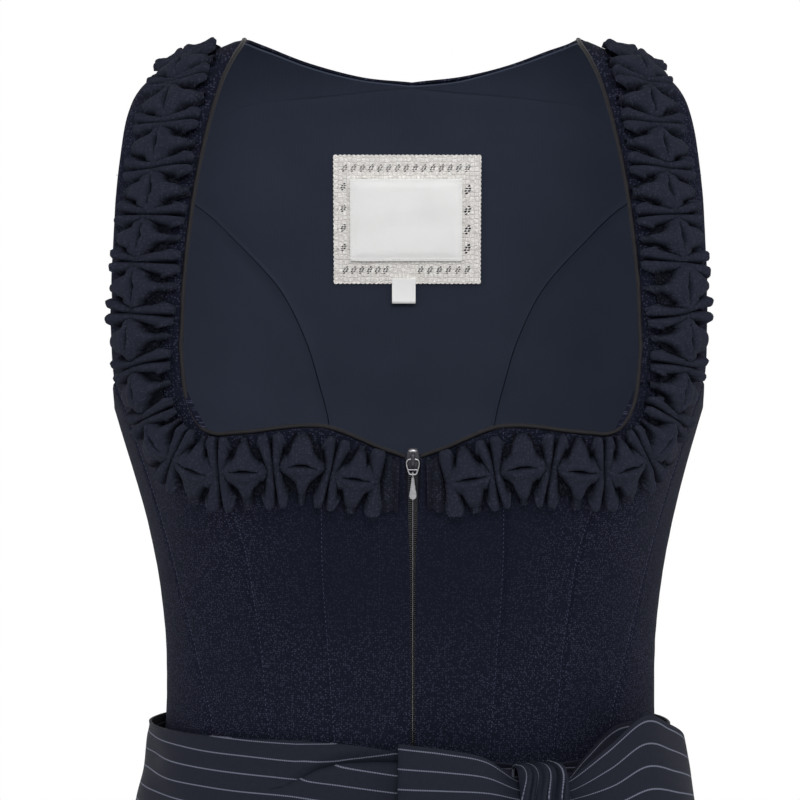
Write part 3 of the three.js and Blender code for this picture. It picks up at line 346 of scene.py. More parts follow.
class Finish:
    def __init__(self, name):
        self.material = bpy.data.materials.new(name)
        self.material.use_nodes = True
        self.tree = self.material.node_tree
        self.shader = self.tree.nodes["Principled BSDF"]

    def node(self, kind, settings=None, output=0, **inputs):
        return addNode(self.tree, kind, settings, output, **inputs)

    def uv(self):
        coordinates = self.node("ShaderNodeTexCoord", output="UV")
        split = self.tree.nodes.new("ShaderNodeSeparateXYZ")
        self.tree.links.new(coordinates.socket, split.inputs[0])
        return coordinates, Value(self.tree, split.outputs[0]), Value(self.tree, split.outputs[1])

    def place(self):
        return self.node("ShaderNodeTexCoord", output="Object")

    def noise(self, vector, scale, detail=2, roughness=0.5):
        return self.node("ShaderNodeTexNoise", Vector=vector, Scale=scale, Detail=detail, Roughness=roughness)

    def colour(self, mask, low, high):
        return self.node("ShaderNodeMix", {"data_type": "RGBA"}, output=2, i0=mask,
            i6=low if isinstance(low, Value) else (*low, 1), i7=high if isinstance(high, Value) else (*high, 1))

    def done(self, colour, roughness, bumps=(), **constants):
        for name, value in (("Base Color", colour), ("Roughness", roughness)):
            if isinstance(value, Value):
                self.tree.links.new(value.socket, self.shader.inputs[name])
            else:
                self.shader.inputs[name].default_value = (*value, 1) if name == "Base Color" else value
        normal = None
        for height, distance in bumps:
            inputs = {"Height": height, "Distance": distance * millimetre, "Strength": 1.0}
            if normal is not None:
                inputs["Normal"] = normal
            normal = self.node("ShaderNodeBump", **inputs)
        if normal is not None:
            self.tree.links.new(normal.socket, self.shader.inputs["Normal"])
        for name, value in constants.items():
            self.shader.inputs[name.replace("_", " ")].default_value = value
        return self.material


def srgb(red, green, blue):
    # screen colour out of 255 to linear light
    shares = (value / 255 for value in (red, green, blue))
    return tuple(((share + 0.055) / 1.055) ** 2.4 if share > 10 / 255 else share / 12.92 for share in shares)


def lighter(colour, times):
    return tuple(times * value for value in colour)


bodiceWeave = {"ground": srgb(14, 16, 26), "dot": srgb(57, 59, 77), "pitch": 0.00105}
# painted light: the trim is the bodice's cloth, with its ground made lighter for the lit tops of the ruching; its low
# places get painted shade in the material
trimWeave = {"ground": srgb(25, 27, 36), "dot": srgb(60, 62, 78), "pitch": 0.00115}


def weaveMaterial(name, sizes, ruched=False):
    # the pale dots show most at the sides, the waist and the neckline
    finish = Finish(name)
    vector, u, v = finish.uv()
    spots = finish.node("ShaderNodeTexVoronoi", {"feature": "F1"}, output="Distance", Vector=vector,
        Scale=1 / sizes["pitch"], Randomness=0.6)
    patches = finish.noise(vector, 28, 2)
    ground = finish.colour(finish.noise(vector, 900, 1), sizes["ground"], lighter(sizes["ground"], 1.45))
    if ruched:
        # painted shade: the ruching's ground darkens to a third where the cloth lies low between ribs and lobes
        raised = finish.node("ShaderNodeAttribute", {"attribute_name": "raised"}, output="Fac")
        mottle, ground = 0.4, finish.colour(raised, lighter(sizes["ground"], 0.32), ground)
    else:
        # how strongly the pale dots show at each place on the body
        edges = u.absolute().fade(0.035, 0.09) + v.fade(-0.25, -0.335) + v.fade(-0.205, -0.185)
        mottle = edges.least(1.0) * 0.6 + 0.28
    mask = spots.fade(0.48, 0.14) * (patches.fade(0.1, 0.7) * 0.5 + 0.5) * mottle
    colour = finish.colour(mask * 0.8, ground, sizes["dot"])
    threads = u.waves(0.0007) * v.waves(0.0007)
    return finish.done(colour, 0.75, [(mask, 0.12), (threads, 0.04)], Specular_IOR_Level=0.02)


bodiceMaterial = weaveMaterial("navy_weave", bodiceWeave)
trimMaterial = weaveMaterial("navy_ruching", trimWeave, True)

liningCloth = {"colour": srgb(40, 45, 58), "light": srgb(46, 52, 66)}


def liningMaterialMade():
    finish = Finish("slate_lining")
    vector, u, v = finish.uv()
    colour = finish.colour(finish.noise(vector, 35, 3), liningCloth["colour"], liningCloth["light"])
    threads = u.waves(0.0005) + v.waves(0.0005)
    return finish.done(colour, 0.6, [(threads, 0.02)], Specular_IOR_Level=0.04)


liningMaterial = liningMaterialMade()

bodicePanel = {"thickness": 1.4, "base": 0.15, "seamDip": 1.0, "seamWidth": 1.6, "pucker": 0.22, "ease": 0.5,
    "lipHeight": 0.7, "lipWidth": 3.4}


def panelPoints(grid, seams, seed, sizes, side=1, rim="t", lip=False):
    flat = torsoPoint(grid["angle"], grid["level"])
    toSeam = edgeDistance(flat, seams)
    wave = softNoise(flat, 55, seed, (1, 1, 0.6)) * sizes["ease"]
    pucker = softNoise(flat, 11, seed + 50, (0.3, 0.3, 1)) * sizes["pucker"] * np.exp(-toSeam / 7)
    dip = sizes["seamDip"] * np.exp(-(toSeam / sizes["seamWidth"]) ** 2)
    out = sizes["base"] + (wave + pucker) * np.clip(toSeam / 5, 0, 1) - dip
    if lip:
        out = out + sizes["lipHeight"] / (1 + (edgeDistance(flat, "l") / sizes["lipWidth"]) ** 8)
    if rim:
        toRim = edgeDistance(flat, rim)
        out = out * np.clip(toRim / 4, 0, 1)
    points = torsoPlace(grid["angle"], grid["level"], out)
    points[..., 0] *= side
    return points, clothUv(grid) * np.array([side, 1])


def seamedGrid(topLine, leftLine, rightLine, columns, rows):
    u, v = closeEnds(columns), np.linspace(0, 1, rows + 1)
    left, right = along(leftLine, v), along(rightLine, v)
    top = along(topLine, u)
    bottom = lineBetween(pointOf(left, -1), pointOf(right, -1), u)
    return boundedGrid(top, bottom, left, right, u, v)


def sideFrontGrids():
    strapShares, columns = np.linspace(0, 1, 61), closeEnds(16)
    left, right = along(strapInner, strapShares), along(strapOuter, strapShares)
    strapGrid = ruledGrid(left, right, columns)
    neck = along(neckSide, np.linspace(0, 1, 26))
    top = {name: np.concatenate([neck[name], strapGrid[name][-1][1:]]) for name in ("angle", "level")}
    steps = np.linalg.norm(np.diff(torsoPoint(top["angle"], top["level"]), axis=0), axis=1)
    u = np.concatenate([[0], np.cumsum(steps)]) / steps.sum()
    v = np.linspace(0, 1, 71)
    seamLeft, seamRight = along(innerFrontSeam, v), along(middleFrontSeam, v)
    bottom = lineBetween(pointOf(seamLeft, -1), pointOf(seamRight, -1), u)
    return strapGrid, boundedGrid(top, bottom, seamLeft, seamRight, u, v)


strapGrid, sideFrontGrid = sideFrontGrids()
sideBackGrid = seamedGrid(armholeBack, sideSeam, backSeam, 28, 100)
panelGrids = {
    "bodice_centre_front": [(seamedGrid(neckCentre, zipEdge, innerFrontSeam, 26, 90), "r")],
    "bodice_side_front": [(strapGrid, "lr"), (sideFrontGrid, "lr")],
    "bodice_outer_front": [(seamedGrid(armholeFront, middleFrontSeam, outerFrontSeam, 14, 80), "lr")],
    "bodice_side": [(seamedGrid(armholeSide, outerFrontSeam, sideSeam, 16, 64), "lr")],
    "bodice_side_back": [(sideBackGrid, "lr")],
}


bodicePieces = {"left": [], "right": []}


def addPanels():
    for number, (name, parts) in enumerate(panelGrids.items()):
        for side, word in ((1, "left"), (-1, "right")):
            seed = 10 * number + side + 3
            lip = name == "bodice_centre_front"
            grids = [panelPoints(grid, seams, seed, bodicePanel, side, None, lip) for grid, seams in parts]
            piece = addObject(sheetMesh(f"{name}_{word}_cloth", grids, flip=side < 0), bodiceMaterial)
            thickened(piece, bodicePanel["thickness"], 1)
            bodicePieces[word].append(piece)
            dress(piece, "garment", "bodice_cloth", f"{name}_{word}")


def backGrids():
    columns = closeEnds(26)
    shares = np.linspace(0, 1, 31)
    upper = ruledGrid(along(backNeck, shares), along(backShoulder, shares), columns)
    rows = np.linspace(0, 1, 101)
    centre = {"angle": np.full(101, 180.0), "level": 3.15 + (waistLevel - 3.15) * rows}
    lower = ruledGrid(centre, along(backSeam, rows), columns)
    other = [{"angle": 360 - grid["angle"], "level": grid["level"]} for grid in (upper, lower)]
    return [upper, lower], other


def addBack():
    own, other = backGrids()
    grids = [tuple(part[:, ::-1] for part in panelPoints(grid, "r", 70, bodicePanel, 1, None)) for grid in own]
    grids += [panelPoints(grid, "r", 70, bodicePanel, 1, None) for grid in other]
    piece = addObject(sheetMesh("bodice_centre_back_cloth", grids), bodiceMaterial)
    thickened(piece, bodicePanel["thickness"], 1)
    dress(piece, "garment", "bodice_cloth", "bodice_centre_back")
    bodicePieces["left"].append(piece)
    bodicePieces["right"].append(piece)


addPanels()
addBack()
print("bodice panels")


def joinedLine(*lines):
    return {name: np.concatenate([line[name] for line in lines]) for name in ("angle", "level")}


def denseLine(line, step=1.0):
    # points about one step apart in millimetres
    rough = along(line, np.linspace(0, 1, 200))
    length = np.linalg.norm(np.diff(torsoPoint(rough["angle"], rough["level"]), axis=0), axis=1).sum()
    return along(line, np.linspace(0, 1, max(3, int(length / step))))


def besideLine(line, sideways, out):
    # the line moved over the cloth, positive to its left seen from outside
    points, normals = torsoPoint(line["angle"], line["level"]), torsoNormal(line["angle"], line["level"])
    across = unit(np.cross(normals, np.gradient(points, axis=0)))
    return points + across * sideways + normals * out, normals


# Linings of the back, inside the outer cloth
backLining = {"thickness": 1.0, "base": -0.35, "seamDip": 0.7, "seamWidth": 1.3, "pucker": 0.16, "ease": 0.5}


def addLinings():
    own, other = backGrids()
    grids = [tuple(part[:, ::-1] for part in panelPoints(grid, "r", 90, backLining)) for grid in own]
    grids += [panelPoints(grid, "r", 90, backLining) for grid in other]
    piece = addObject(sheetMesh("lining_centre_back_cloth", grids), liningMaterial)
    thickened(piece, backLining["thickness"], -1)
    dress(piece, "garment", "lining_cloth", "lining_centre_back")
    for side, word in ((1, "left"), (-1, "right")):
        grids = [panelPoints(sideBackGrid, "lr", 95 + side, backLining, side)]
        piece = addObject(sheetMesh(f"lining_side_back_{word}_cloth", grids, flip=side < 0), liningMaterial)
        thickened(piece, backLining["thickness"], -1)
        dress(piece, "garment", "lining_cloth", f"lining_side_back_{word}")


addLinings()
print("linings")


def ringCurve(count, across, up, groove=0.0):
    # cross-section of a cord, with an optional stitched groove on one side
    turns = np.linspace(0, 2 * math.pi, count, endpoint=False)
    shrink = 1 - groove * np.exp(-((np.degrees(turns) - 150) / 18) ** 2)
    return np.stack([np.cos(turns) * across * shrink, np.sin(turns) * up * shrink], -1)


def cordPoints(path, ups, sections, closed=False):
    # sections: one list of (across, up) offsets for every path point
    ahead = np.roll(path, -1, 0) - np.roll(path, 1, 0) if closed else np.gradient(path, axis=0)
    ahead = unit(ahead)
    across = unit(np.cross(ups, ahead))
    ups = np.cross(ahead, across)
    return path[:, None] + across[:, None] * sections[..., :1] + ups[:, None] * sections[..., 1:]


def cordMesh(name, path, ups, sections, closed=False):
    rings = cordPoints(path, ups, np.broadcast_to(sections, (len(path),) + sections.shape[-2:]), closed)
    if closed:
        rings = np.concatenate([rings, rings[:1]])
    rings = np.concatenate([rings, rings[:, :1]], 1)
    lengths = runningLength(rings[:, 0])
    girth = np.linspace(0, 1, rings.shape[1]) * 2 * math.pi * np.abs(sections).max()
    uv = np.stack(np.meshgrid(girth, lengths), -1) * millimetre
    mesh = sheetMesh(name, [(rings, uv)], flip=True)
    if not closed:
        work = bmesh.new()
        work.from_mesh(mesh)
        bmesh.ops.holes_fill(work, edges=[edge for edge in work.edges if edge.is_boundary])
        work.to_mesh(mesh)
        work.free()
    return mesh


satinCloth = {"colour": srgb(20, 19, 23), "light": srgb(33, 31, 32)}


def satinMaterial():
    finish = Finish("piping_satin")
    vector, u, v = finish.uv()
    threads = v.waves(0.0004)
    colour = finish.colour(finish.noise(vector, 300, 2), satinCloth["colour"], satinCloth["light"])
    folds = finish.noise(vector, 220, 2)
    return finish.done(colour, 0.42, [(threads, 0.015), (folds, 0.12)], Specular_IOR_Level=0.08)


piping = {"radius": 1.15, "away": 1.2, "out": 0.85, "groove": 0.22}
pipingMaterial = satinMaterial()
neckLine = joinedLine(neckCentre, {name: values[1:] for name, values in neckSide.items()},
    {name: values[:-1][::-1] for name, values in strapInner.items()})


def addPiping():
    line = denseLine(neckLine, 0.9)
    points, normals = besideLine(line, piping["away"], piping["out"])
    section = ringCurve(16, piping["radius"], piping["radius"] * 0.92, piping["groove"])
    for side, word in ((1, "left"), (-1, "right")):
        flip = np.array([side, 1, 1])
        path, ups = points * flip, normals * flip
        sections = section * np.array([side, 1])
        mesh = cordMesh(f"neck_piping_{word}_cord", path, ups, sections[::side])
        piece = addObject(mesh, pipingMaterial)
        dress(piece, "garment", "piping_satin", f"neck_piping_{word}")


addPiping()
print("piping")

# Small solids repeated along drawn lines: stitches and zip teeth
def repeatTree(name, material, box):
    # the z of each solid points along the attribute "outward" and its x along the line
    tree = bpy.data.node_groups.new(name, "GeometryNodeTree")
    tree.interface.new_socket("Geometry", in_out="OUTPUT", socket_type="NodeSocketGeometry")
    tree.interface.new_socket("Geometry", in_out="INPUT", socket_type="NodeSocketGeometry")
    for size in ("pitch", "length", "width", "height"):
        tree.interface.new_socket(size, in_out="INPUT", socket_type="NodeSocketFloat")
    given = {output.name: Value(tree, output) for output in tree.nodes.new("NodeGroupInput").outputs}
    curve = addNode(tree, "GeometryNodeMeshToCurve", Mesh=given["Geometry"])
    evenly = addNode(tree, "GeometryNodeResampleCurve", {"mode": "LENGTH"}, Curve=curve, Length=given["pitch"])
    if box:
        solid = addNode(tree, "GeometryNodeMeshCube", Size=(1, 1, 1))
    else:
        solid = addNode(tree, "GeometryNodeMeshUVSphere", Segments=6, Rings=4, Radius=0.5)
    outward = addNode(tree, "GeometryNodeInputNamedAttribute", {"data_type": "FLOAT_VECTOR"}, Name="outward")
    turn = addNode(tree, "FunctionNodeAxesToRotation", {"primary_axis": "Z", "secondary_axis": "X"},
        Primary_Axis=outward, Secondary_Axis=addNode(tree, "GeometryNodeInputTangent"))
    vary = addNode(tree, "FunctionNodeRandomValue", {"data_type": "FLOAT"}, output=1, i2=0.85, i3=1.1, Seed=4)
    scale = addNode(tree, "ShaderNodeCombineXYZ", X=given["length"] * vary, Y=given["width"], Z=given["height"])
    placed = addNode(tree, "GeometryNodeInstanceOnPoints", Points=evenly, Instance=solid, Rotation=turn, Scale=scale)
    whole = addNode(tree, "GeometryNodeRealizeInstances", Geometry=placed)
    finished = addNode(tree, "GeometryNodeSetMaterial", Geometry=whole, Material=material)
    tree.links.new(finished.socket, tree.nodes.new("NodeGroupOutput").inputs[0])
    return tree


def repeated(name, lines, sizes, material, box=False):
    # lines: (points, outward) pairs in millimetres
    mesh = bpy.data.meshes.new(name)
    starts = np.cumsum([0] + [len(points) for points, _ in lines])
    edges = [(int(start) + index, int(start) + index + 1) for start, (points, _) in zip(starts, lines)
        for index in range(len(points) - 1)]
    mesh.from_pydata((np.concatenate([points for points, _ in lines]) * millimetre).tolist(), edges, [])
    outward = np.concatenate([ups for _, ups in lines]).astype(np.float32)
    mesh.attributes.new("outward", "FLOAT_VECTOR", "POINT").data.foreach_set("vector", outward.ravel())
    piece = addObject(mesh, material)
    modifier = piece.modifiers.new("repeat", "NODES")
    modifier.node_group = repeatTree(f"{name}_tree", material, box)
    for socket in modifier.node_group.interface.items_tree:
        if socket.name in sizes:
            modifier[socket.identifier] = sizes[socket.name] * millimetre
    return applied(piece)


def onCloth(pieces, points, normals, lift):
    # points moved along their normals to lie on the finished cloth, found from this far outside it
    start, reach = 14, 28
    shapes = [BVHTree.FromPolygons([vertex.co for vertex in piece.data.vertices],
        [face.vertices for face in piece.data.polygons]) for piece in pieces]
    points, landed = points.copy(), []
    points[:, 0] -= sideShift(points[:, 0])
    for point, normal in zip(points, normals):
        place, way = Vector((point + normal * start) * millimetre), Vector(-normal)
        found = (shape.ray_cast(place, way, reach * millimetre)[3] for shape in shapes)
        hits = [hit for hit in found if hit is not None]
        out = start - min(hits) * 1000 if hits else bodicePanel["thickness"]
        landed.append(point + normal * (out + lift))
    landed = np.array(landed)
    landed[:, 0] += sideShift(landed[:, 0])
    return landed


def threadMaterial(name, colour):
    finish = Finish(name)
    twist = finish.noise(finish.place(), 2600, 1)
    return finish.done(finish.colour(twist, colour, lighter(colour, 1.3)), 0.6, Specular_IOR_Level=0.1)


stitch = {"pitch": 2.4, "length": 1.25, "width": 0.27, "height": 0.34, "beside": 1.4, "channel": 16}
channelStitch = dict(stitch, width=0.24, height=0.2)
seamThread = threadMaterial("navy_thread", srgb(58, 62, 83))
channelThread = threadMaterial("dark_thread", srgb(34, 37, 52))


def addStitches():
    seams = [denseLine(line, 2.0) for line in (innerFrontSeam, middleFrontSeam, outerFrontSeam, sideSeam, backSeam)]
    level = np.linspace(10.5, waistLevel - 0.05, 90)
    channel = {"angle": 0.5 * stitch["channel"] / torsoPoint(0.5, level)[:, 0], "level": level}
    for side, word in ((1, "left"), (-1, "right")):
        flip = np.array([side, 1, 1])
        lines = []
        for seam, away in [(seam, -stitch["beside"]) for seam in seams] + [(channel, 0)]:
            points, normals = besideLine(seam, away, 0)
            points, normals = points * flip, normals * flip
            lines.append((onCloth(bodicePieces[word], points, normals, 0.08), normals))
        piece = repeated(f"bodice_stitches_{word}", lines[:-1], stitch, seamThread)
        dress(piece, "garment", "bodice_cloth")
        piece = repeated(f"channel_stitches_{word}", lines[-1:], channelStitch, channelThread)
        dress(piece, "garment", "bodice_cloth")


addStitches()
print("stitches")

# Label on the back lining: a crocheted frame with openings, a woven panel and a tag
label = {"left": -40.2, "right": 35.4, "top": -57.5, "bottom": -124.6, "scallop": 0.45, "wave": 2.3, "out": -2.45,
    "thickness": 0.55, "holeWidth": 1.3, "holeHeight": 3.9, "under": 1.4, "step": 2.2, "relief": 0.22}
panel = {"left": -31.8, "right": 25.8, "top": -69.2, "bottom": -112.4, "out": -3.4, "thickness": 0.35}
tag = {"left": -10.3, "right": 1.8, "top": -122, "bottom": -134, "out": -2.6, "thickness": 0.3,
    "fold": 0.46, "bend": 0.08, "gap": 0.9}
labelStitch = {"pitch": 1.7, "length": 1.15, "width": 0.34, "height": 0.4, "inset": 0.9, "points": 40}


def backPlace(x, z, out):
    # points on the inside of the back, from their place across and down
    x, z = np.asarray(x, float), np.asarray(z, float)
    low, high = np.full(x.shape, 100.0), np.full(x.shape, 260.0)
    level = np.interp(-z, torsoRings["drop"], np.arange(len(torsoRings["drop"])))
    for _ in range(24):
        angle = (low + high) / 2
        wide = torsoPoint(angle, level)[..., 0] > x
        low, high = np.where(wide, angle, low), np.where(wide, high, angle)
    for _ in range(3):
        level = level - (torsoPoint(angle, level)[..., 2] - z) / (torsoPoint(angle, level + 0.01)[..., 2]
            - torsoPoint(angle, level)[..., 2]) * 0.01
    return torsoPlace(angle, level, out)


def insideLoop(points, loop):
    loop = np.array(loop)
    x, y = points[:, 0][:, None], points[:, 1][:, None]
    ax, ay, bx, by = loop[:, 0], loop[:, 1], np.roll(loop[:, 0], -1), np.roll(loop[:, 1], -1)
    crossing = ((ay > y) != (by > y)) & (x < (bx - ax) * (y - ay) / np.where(by == ay, 1, by - ay) + ax)
    return crossing.sum(1) % 2 == 1


def flatPlate(name, loops, step):
    # a flat plate with openings, in faces small enough to bend
    places = [point for loop in loops for point in loop]
    starts = np.cumsum([0] + [len(loop) for loop in loops])
    edges = [(int(start) + index, int(start) + (index + 1) % len(loop)) for start, loop in zip(starts, loops)
        for index in range(len(loop))]
    rim = np.array(places)
    x, y = np.meshgrid(*(np.arange(rim[:, axis].min(), rim[:, axis].max(), step) for axis in (0, 1)))
    inner = np.stack([x.ravel() + step / 2, y.ravel() + step / 2], -1)
    inner = inner[[np.hypot(*(rim - point).T).min() > 0.35 * step for point in inner]]
    made = delaunay_2d_cdt([Vector(point) for point in (*places, *inner)], edges, [], 0, 1e-5)
    points, triangles = np.array([tuple(point) for point in made[0]]), np.array([list(face) for face in made[2]])
    middle = points[triangles].mean(1)
    kept = insideLoop(middle, loops[0])
    for loop in loops[1:]:
        kept &= ~insideLoop(middle, loop)
    mesh = bpy.data.meshes.new(name)
    mesh.from_pydata([(x, y, 0) for x, y in points], [], triangles[kept].tolist())
    work = bmesh.new()
    work.from_mesh(mesh)
    bmesh.ops.delete(work, geom=[vertex for vertex in work.verts if not vertex.link_faces], context="VERTS")
    bmesh.ops.recalc_face_normals(work, faces=work.faces)
    work.to_mesh(mesh)
    work.free()
    return mesh


def insetCorners(size, inset):
    # corners of a rectangle, this far inside its edge
    return [(size["left"] + inset, size["top"] - inset), (size["right"] - inset, size["top"] - inset),
        (size["right"] - inset, size["bottom"] + inset), (size["left"] + inset, size["bottom"] + inset)]


def scalloped(size):
    # rectangle whose edge swells between evenly spaced notches
    corners = insetCorners(size, 0)
    loop = []
    for (x, z), (nextX, nextZ) in zip(corners, corners[1:] + corners[:1]):
        length = math.hypot(nextX - x, nextZ - z)
        count = 4 * round(length / size["wave"])
        for index in range(count):
            share = index / count
            swell = size["scallop"] * (abs(math.sin(math.pi * index / 4)) - 0.5)
            outX, outZ = (nextZ - z) / length, -(nextX - x) / length
            loop.append((x + (nextX - x) * share - outX * swell, z + (nextZ - z) * share - outZ * swell))
    return loop


def raggedHole(x, z, width, height, slant, generator):
    # small openings between crossing threads, along a slant
    loops = []
    for column, row in ((0, -1.5), (-0.5, -0.5), (0.5, -0.5), (-0.5, 0.5), (0.5, 0.5), (0, 1.5)):
        loop, lean = [], generator.uniform(-0.08, 0.08)
        for index in range(8):
            turn = 2 * math.pi * index / 8
            rough = generator.uniform(0.8, 1.1)
            across = width * (0.5 * rough * math.cos(turn) + column * 1.05)
            up = height * (0.125 * rough * math.sin(turn) + row * 0.27)
            loop.append((x + across + slant * up + lean, z + up))
        loops.append(loop)
    return loops


def laceLoops():
    generator = np.random.default_rng(8)
    wide, high = label["holeWidth"], label["holeHeight"]
    spots = [(x, -64.2) for x in np.linspace(-34.5, 28.5, 15)]
    spots += [(x, -117.6) for x in (*np.linspace(-34.2, -13.6, 6), *np.linspace(4.4, 28.5, 6))]
    loops = [loop for x, z in spots for loop in raggedHole(x, z, wide, high, 0.42, generator)]
    for x, rows in ((-35.2, (-73.9, -85.2, -95.5, -105.8)), (28.6, (-75.5, -86.3, -96.5, -106.5))):
        for z in rows:
            grow = 1.25 if x > 0 else 1.0
            loops += raggedHole(x, z, wide * grow, high * grow, 0.35, generator)
            loops += raggedHole(x - 3.0 * grow, z - 0.6, 0.42, 1.3, 0.3, generator)
            loops += raggedHole(x + 4.0 if x > 0 else x + 3.2, z - 0.6, 0.4, 1.3, 0.3, generator)[:2]
    return [scalloped(label), insetCorners(panel, label["under"]), *loops]


def laceMaterial():
    finish = Finish("ivory_lace")
    vector, u, v = finish.uv()
    knots = finish.node("ShaderNodeTexVoronoi", {"feature": "F1"}, output="Distance", Vector=vector,
        Scale=900, Randomness=0.6)
    loops = finish.node("ShaderNodeTexVoronoi", {"feature": "DISTANCE_TO_EDGE"}, output="Distance", Vector=vector,
        Scale=430, Randomness=0.5)
    strand = loops.fade(0.02, 0.16)
    colour = finish.colour(strand * knots.fade(0.75, 0.2), srgb(224, 220, 216), srgb(249, 247, 244))
    return finish.done(colour, 0.85, [(strand, 0.2), (knots, 0.08)], Specular_IOR_Level=0.1)


def labelMaterial():
    finish = Finish("woven_label")
    vector, u, v = finish.uv()
    threads = u.waves(0.0005) + v.waves(0.0004)
    colour = finish.colour(finish.noise(vector, 60, 2), srgb(243, 243, 242), srgb(249, 249, 248))
    return finish.done(colour, 0.6, [(threads, 0.02)], Specular_IOR_Level=0.2)


labelCloth = labelMaterial()


def addLace():
    mesh = flatPlate("label_lace_crochet", laceLoops(), label["step"])
    flat = np.array([vertex.co[:2] for vertex in mesh.vertices])
    relief = label["relief"] * softNoise(np.stack([flat[:, 0], 0 * flat[:, 0], flat[:, 1]], -1), 5, 12)
    places = backPlace(flat[:, 0], flat[:, 1], label["out"] + relief)
    layer = mesh.uv_layers.new(name="cloth")
    corners = np.array([loop.vertex_index for loop in mesh.loops])
    layer.data.foreach_set("uv", (flat[corners] * millimetre).astype(np.float32).ravel())
    mesh.vertices.foreach_set("co", (places * millimetre).astype(np.float32).ravel())
    piece = addObject(mesh, laceMaterial())
    thickened(piece, label["thickness"], -1)
    dress(piece, "garment", "label_lace", "label_lace")


def addLabelPanel():
    x, z = np.meshgrid(np.linspace(panel["left"], panel["right"], 41), np.linspace(panel["top"], panel["bottom"], 31))
    edge = np.minimum.reduce([x - panel["left"], panel["right"] - x, panel["top"] - z, z - panel["bottom"]])
    puff = 0.5 * np.clip((edge - 1.2) / 3, 0, 1) + 0.25 * softNoise(np.stack([x, 0 * x, z], -1), 22, 5)
    points, uv = backPlace(x, z, panel["out"] - puff), np.stack([x, z], -1) * millimetre
    piece = addObject(sheetMesh("label_panel_cloth", [(points, uv)], flip=True), labelCloth)
    thickened(piece, panel["thickness"], -1)
    dress(piece, "garment", "label_cloth", "label_panel")


def addLabelStitches():
    corners, lines = insetCorners(panel, labelStitch["inset"]), []
    share, out = np.linspace(0, 1, labelStitch["points"]), panel["out"] - panel["thickness"] - 0.1
    for (x, z), (nextX, nextZ) in zip(corners, corners[1:] + corners[:1]):
        place = backPlace(x + (nextX - x) * share, z + (nextZ - z) * share, out)
        lines.append((place, np.tile([0.0, -1.0, 0.0], (len(share), 1))))
    piece = repeated("label_stitches", lines, labelStitch, threadMaterial("ivory_thread", srgb(222, 219, 215)))
    dress(piece, "garment", "label_cloth")


def addTag():
    # it hangs down in front, turns, and runs up again behind
    down = np.linspace(0, 1, 29)
    front, turn = down <= tag["fold"], (down > tag["fold"]) & (down < tag["fold"] + tag["bend"])
    bend = (down - tag["fold"]) / tag["bend"] * math.pi
    drop = np.where(front, down / tag["fold"], np.where(turn, 1 + 0.05 * np.sin(bend), (1 - down) / tag["fold"]))
    half = tag["gap"] / 2
    lean = np.where(front, tag["gap"], np.where(turn, half + half * np.cos(bend), 0))
    x, drop = np.meshgrid(np.linspace(tag["left"], tag["right"], 13), drop)
    z = tag["top"] + (tag["bottom"] - tag["top"]) * drop
    points = backPlace(x, z, tag["out"] - lean[:, None] - 0.9 * drop ** 2)
    uv = np.stack([x, np.broadcast_to(down[:, None] * 24, x.shape)], -1) * millimetre
    piece = addObject(sheetMesh("size_tag_cloth", [(points, uv)], flip=True), labelCloth)
    thickened(piece, tag["thickness"], 0)
    dress(piece, "garment", "label_cloth", "size_tag")


addLace()
addLabelPanel()
addLabelStitches()
addTag()
print("label")


# Zip: slider frame runs out of the bodice, down it and across, in millimetres
def metalMaterial(name, low, high, roughness):
    finish = Finish(name)
    mottle = finish.noise(finish.place(), 900, 2)
    rough = mottle * 0.2 + roughness
    return finish.done(finish.colour(mottle, low, high), rough, [(mottle, 0.05)], Metallic=1.0)


brightMetal = metalMaterial("zip_bright", srgb(120, 120, 124), srgb(176, 176, 179), 0.24)
teethMetal = metalMaterial("zip_teeth_metal", srgb(48, 48, 50), srgb(92, 91, 90), 0.38)
# the slider body's dark metal is its dark coat and, in part, painted shade on its front
darkCoatAndShadeMetal = metalMaterial("zip_dark", srgb(46, 46, 50), srgb(78, 78, 82), 0.4)
slider = {"level": 10.2, "hinge": (2.35, 4.6)}
sliderTop, sliderOut = torsoPoint(0, slider["level"]), torsoNormal(0, slider["level"])
sliderDown = unit(np.cross((1, 0, 0), sliderOut))


def sliderPlace(out, down, x):
    out, down, x = (np.asarray(value, float)[..., None] for value in (out, down, x))
    return sliderTop + sliderOut * out + sliderDown * down + np.array([1.0, 0, 0]) * x


hinge = sliderPlace(slider["hinge"][0], slider["hinge"][1], 0)


def hangPlace(out, down, x):
    out, down, x = np.broadcast_arrays(*(np.asarray(value, float) for value in (out, down, x)))
    return hinge + np.stack([x, -out, -down], -1)


def plateMesh(name, outline, low, high, bevel):
    # an outline of (across, down) pairs raised between two heights over the slider frame
    count = len(outline)
    across, down = np.array(outline, float).T
    points = np.concatenate([sliderPlace(np.full(count, height), down, across) for height in (low, high)])
    faces = [list(range(count))[::-1], list(range(count, 2 * count))]
    faces += [[index, (index + 1) % count, count + (index + 1) % count, count + index] for index in range(count)]
    mesh = bpy.data.meshes.new(name)
    mesh.from_pydata((points * millimetre).tolist(), [], faces)
    work = bmesh.new()
    work.from_mesh(mesh)
    bmesh.ops.recalc_face_normals(work, faces=work.faces)
    bmesh.ops.bevel(work, geom=work.edges[:], offset=bevel * millimetre, segments=2, profile=0.6, affect="EDGES")
    work.to_mesh(mesh)
    work.free()
    return mesh


def joinedMesh(name, meshes):
    work = bmesh.new()
    for mesh in meshes:
        work.from_mesh(mesh)
    joined = bpy.data.meshes.new(name)
    work.to_mesh(joined)
    work.free()
    joined.polygons.foreach_set("use_smooth", np.ones(len(joined.polygons), bool))
    joined.set_sharp_from_angle(angle=math.radians(45))
    return joined


def wire(name, path, radius, up, closed=False, flat=1.0):
    path = np.array(path, float)
    ups = np.tile(np.array(up, float), (len(path), 1))
    return cordMesh(name, path, ups, ringCurve(12, radius, radius * flat), closed)


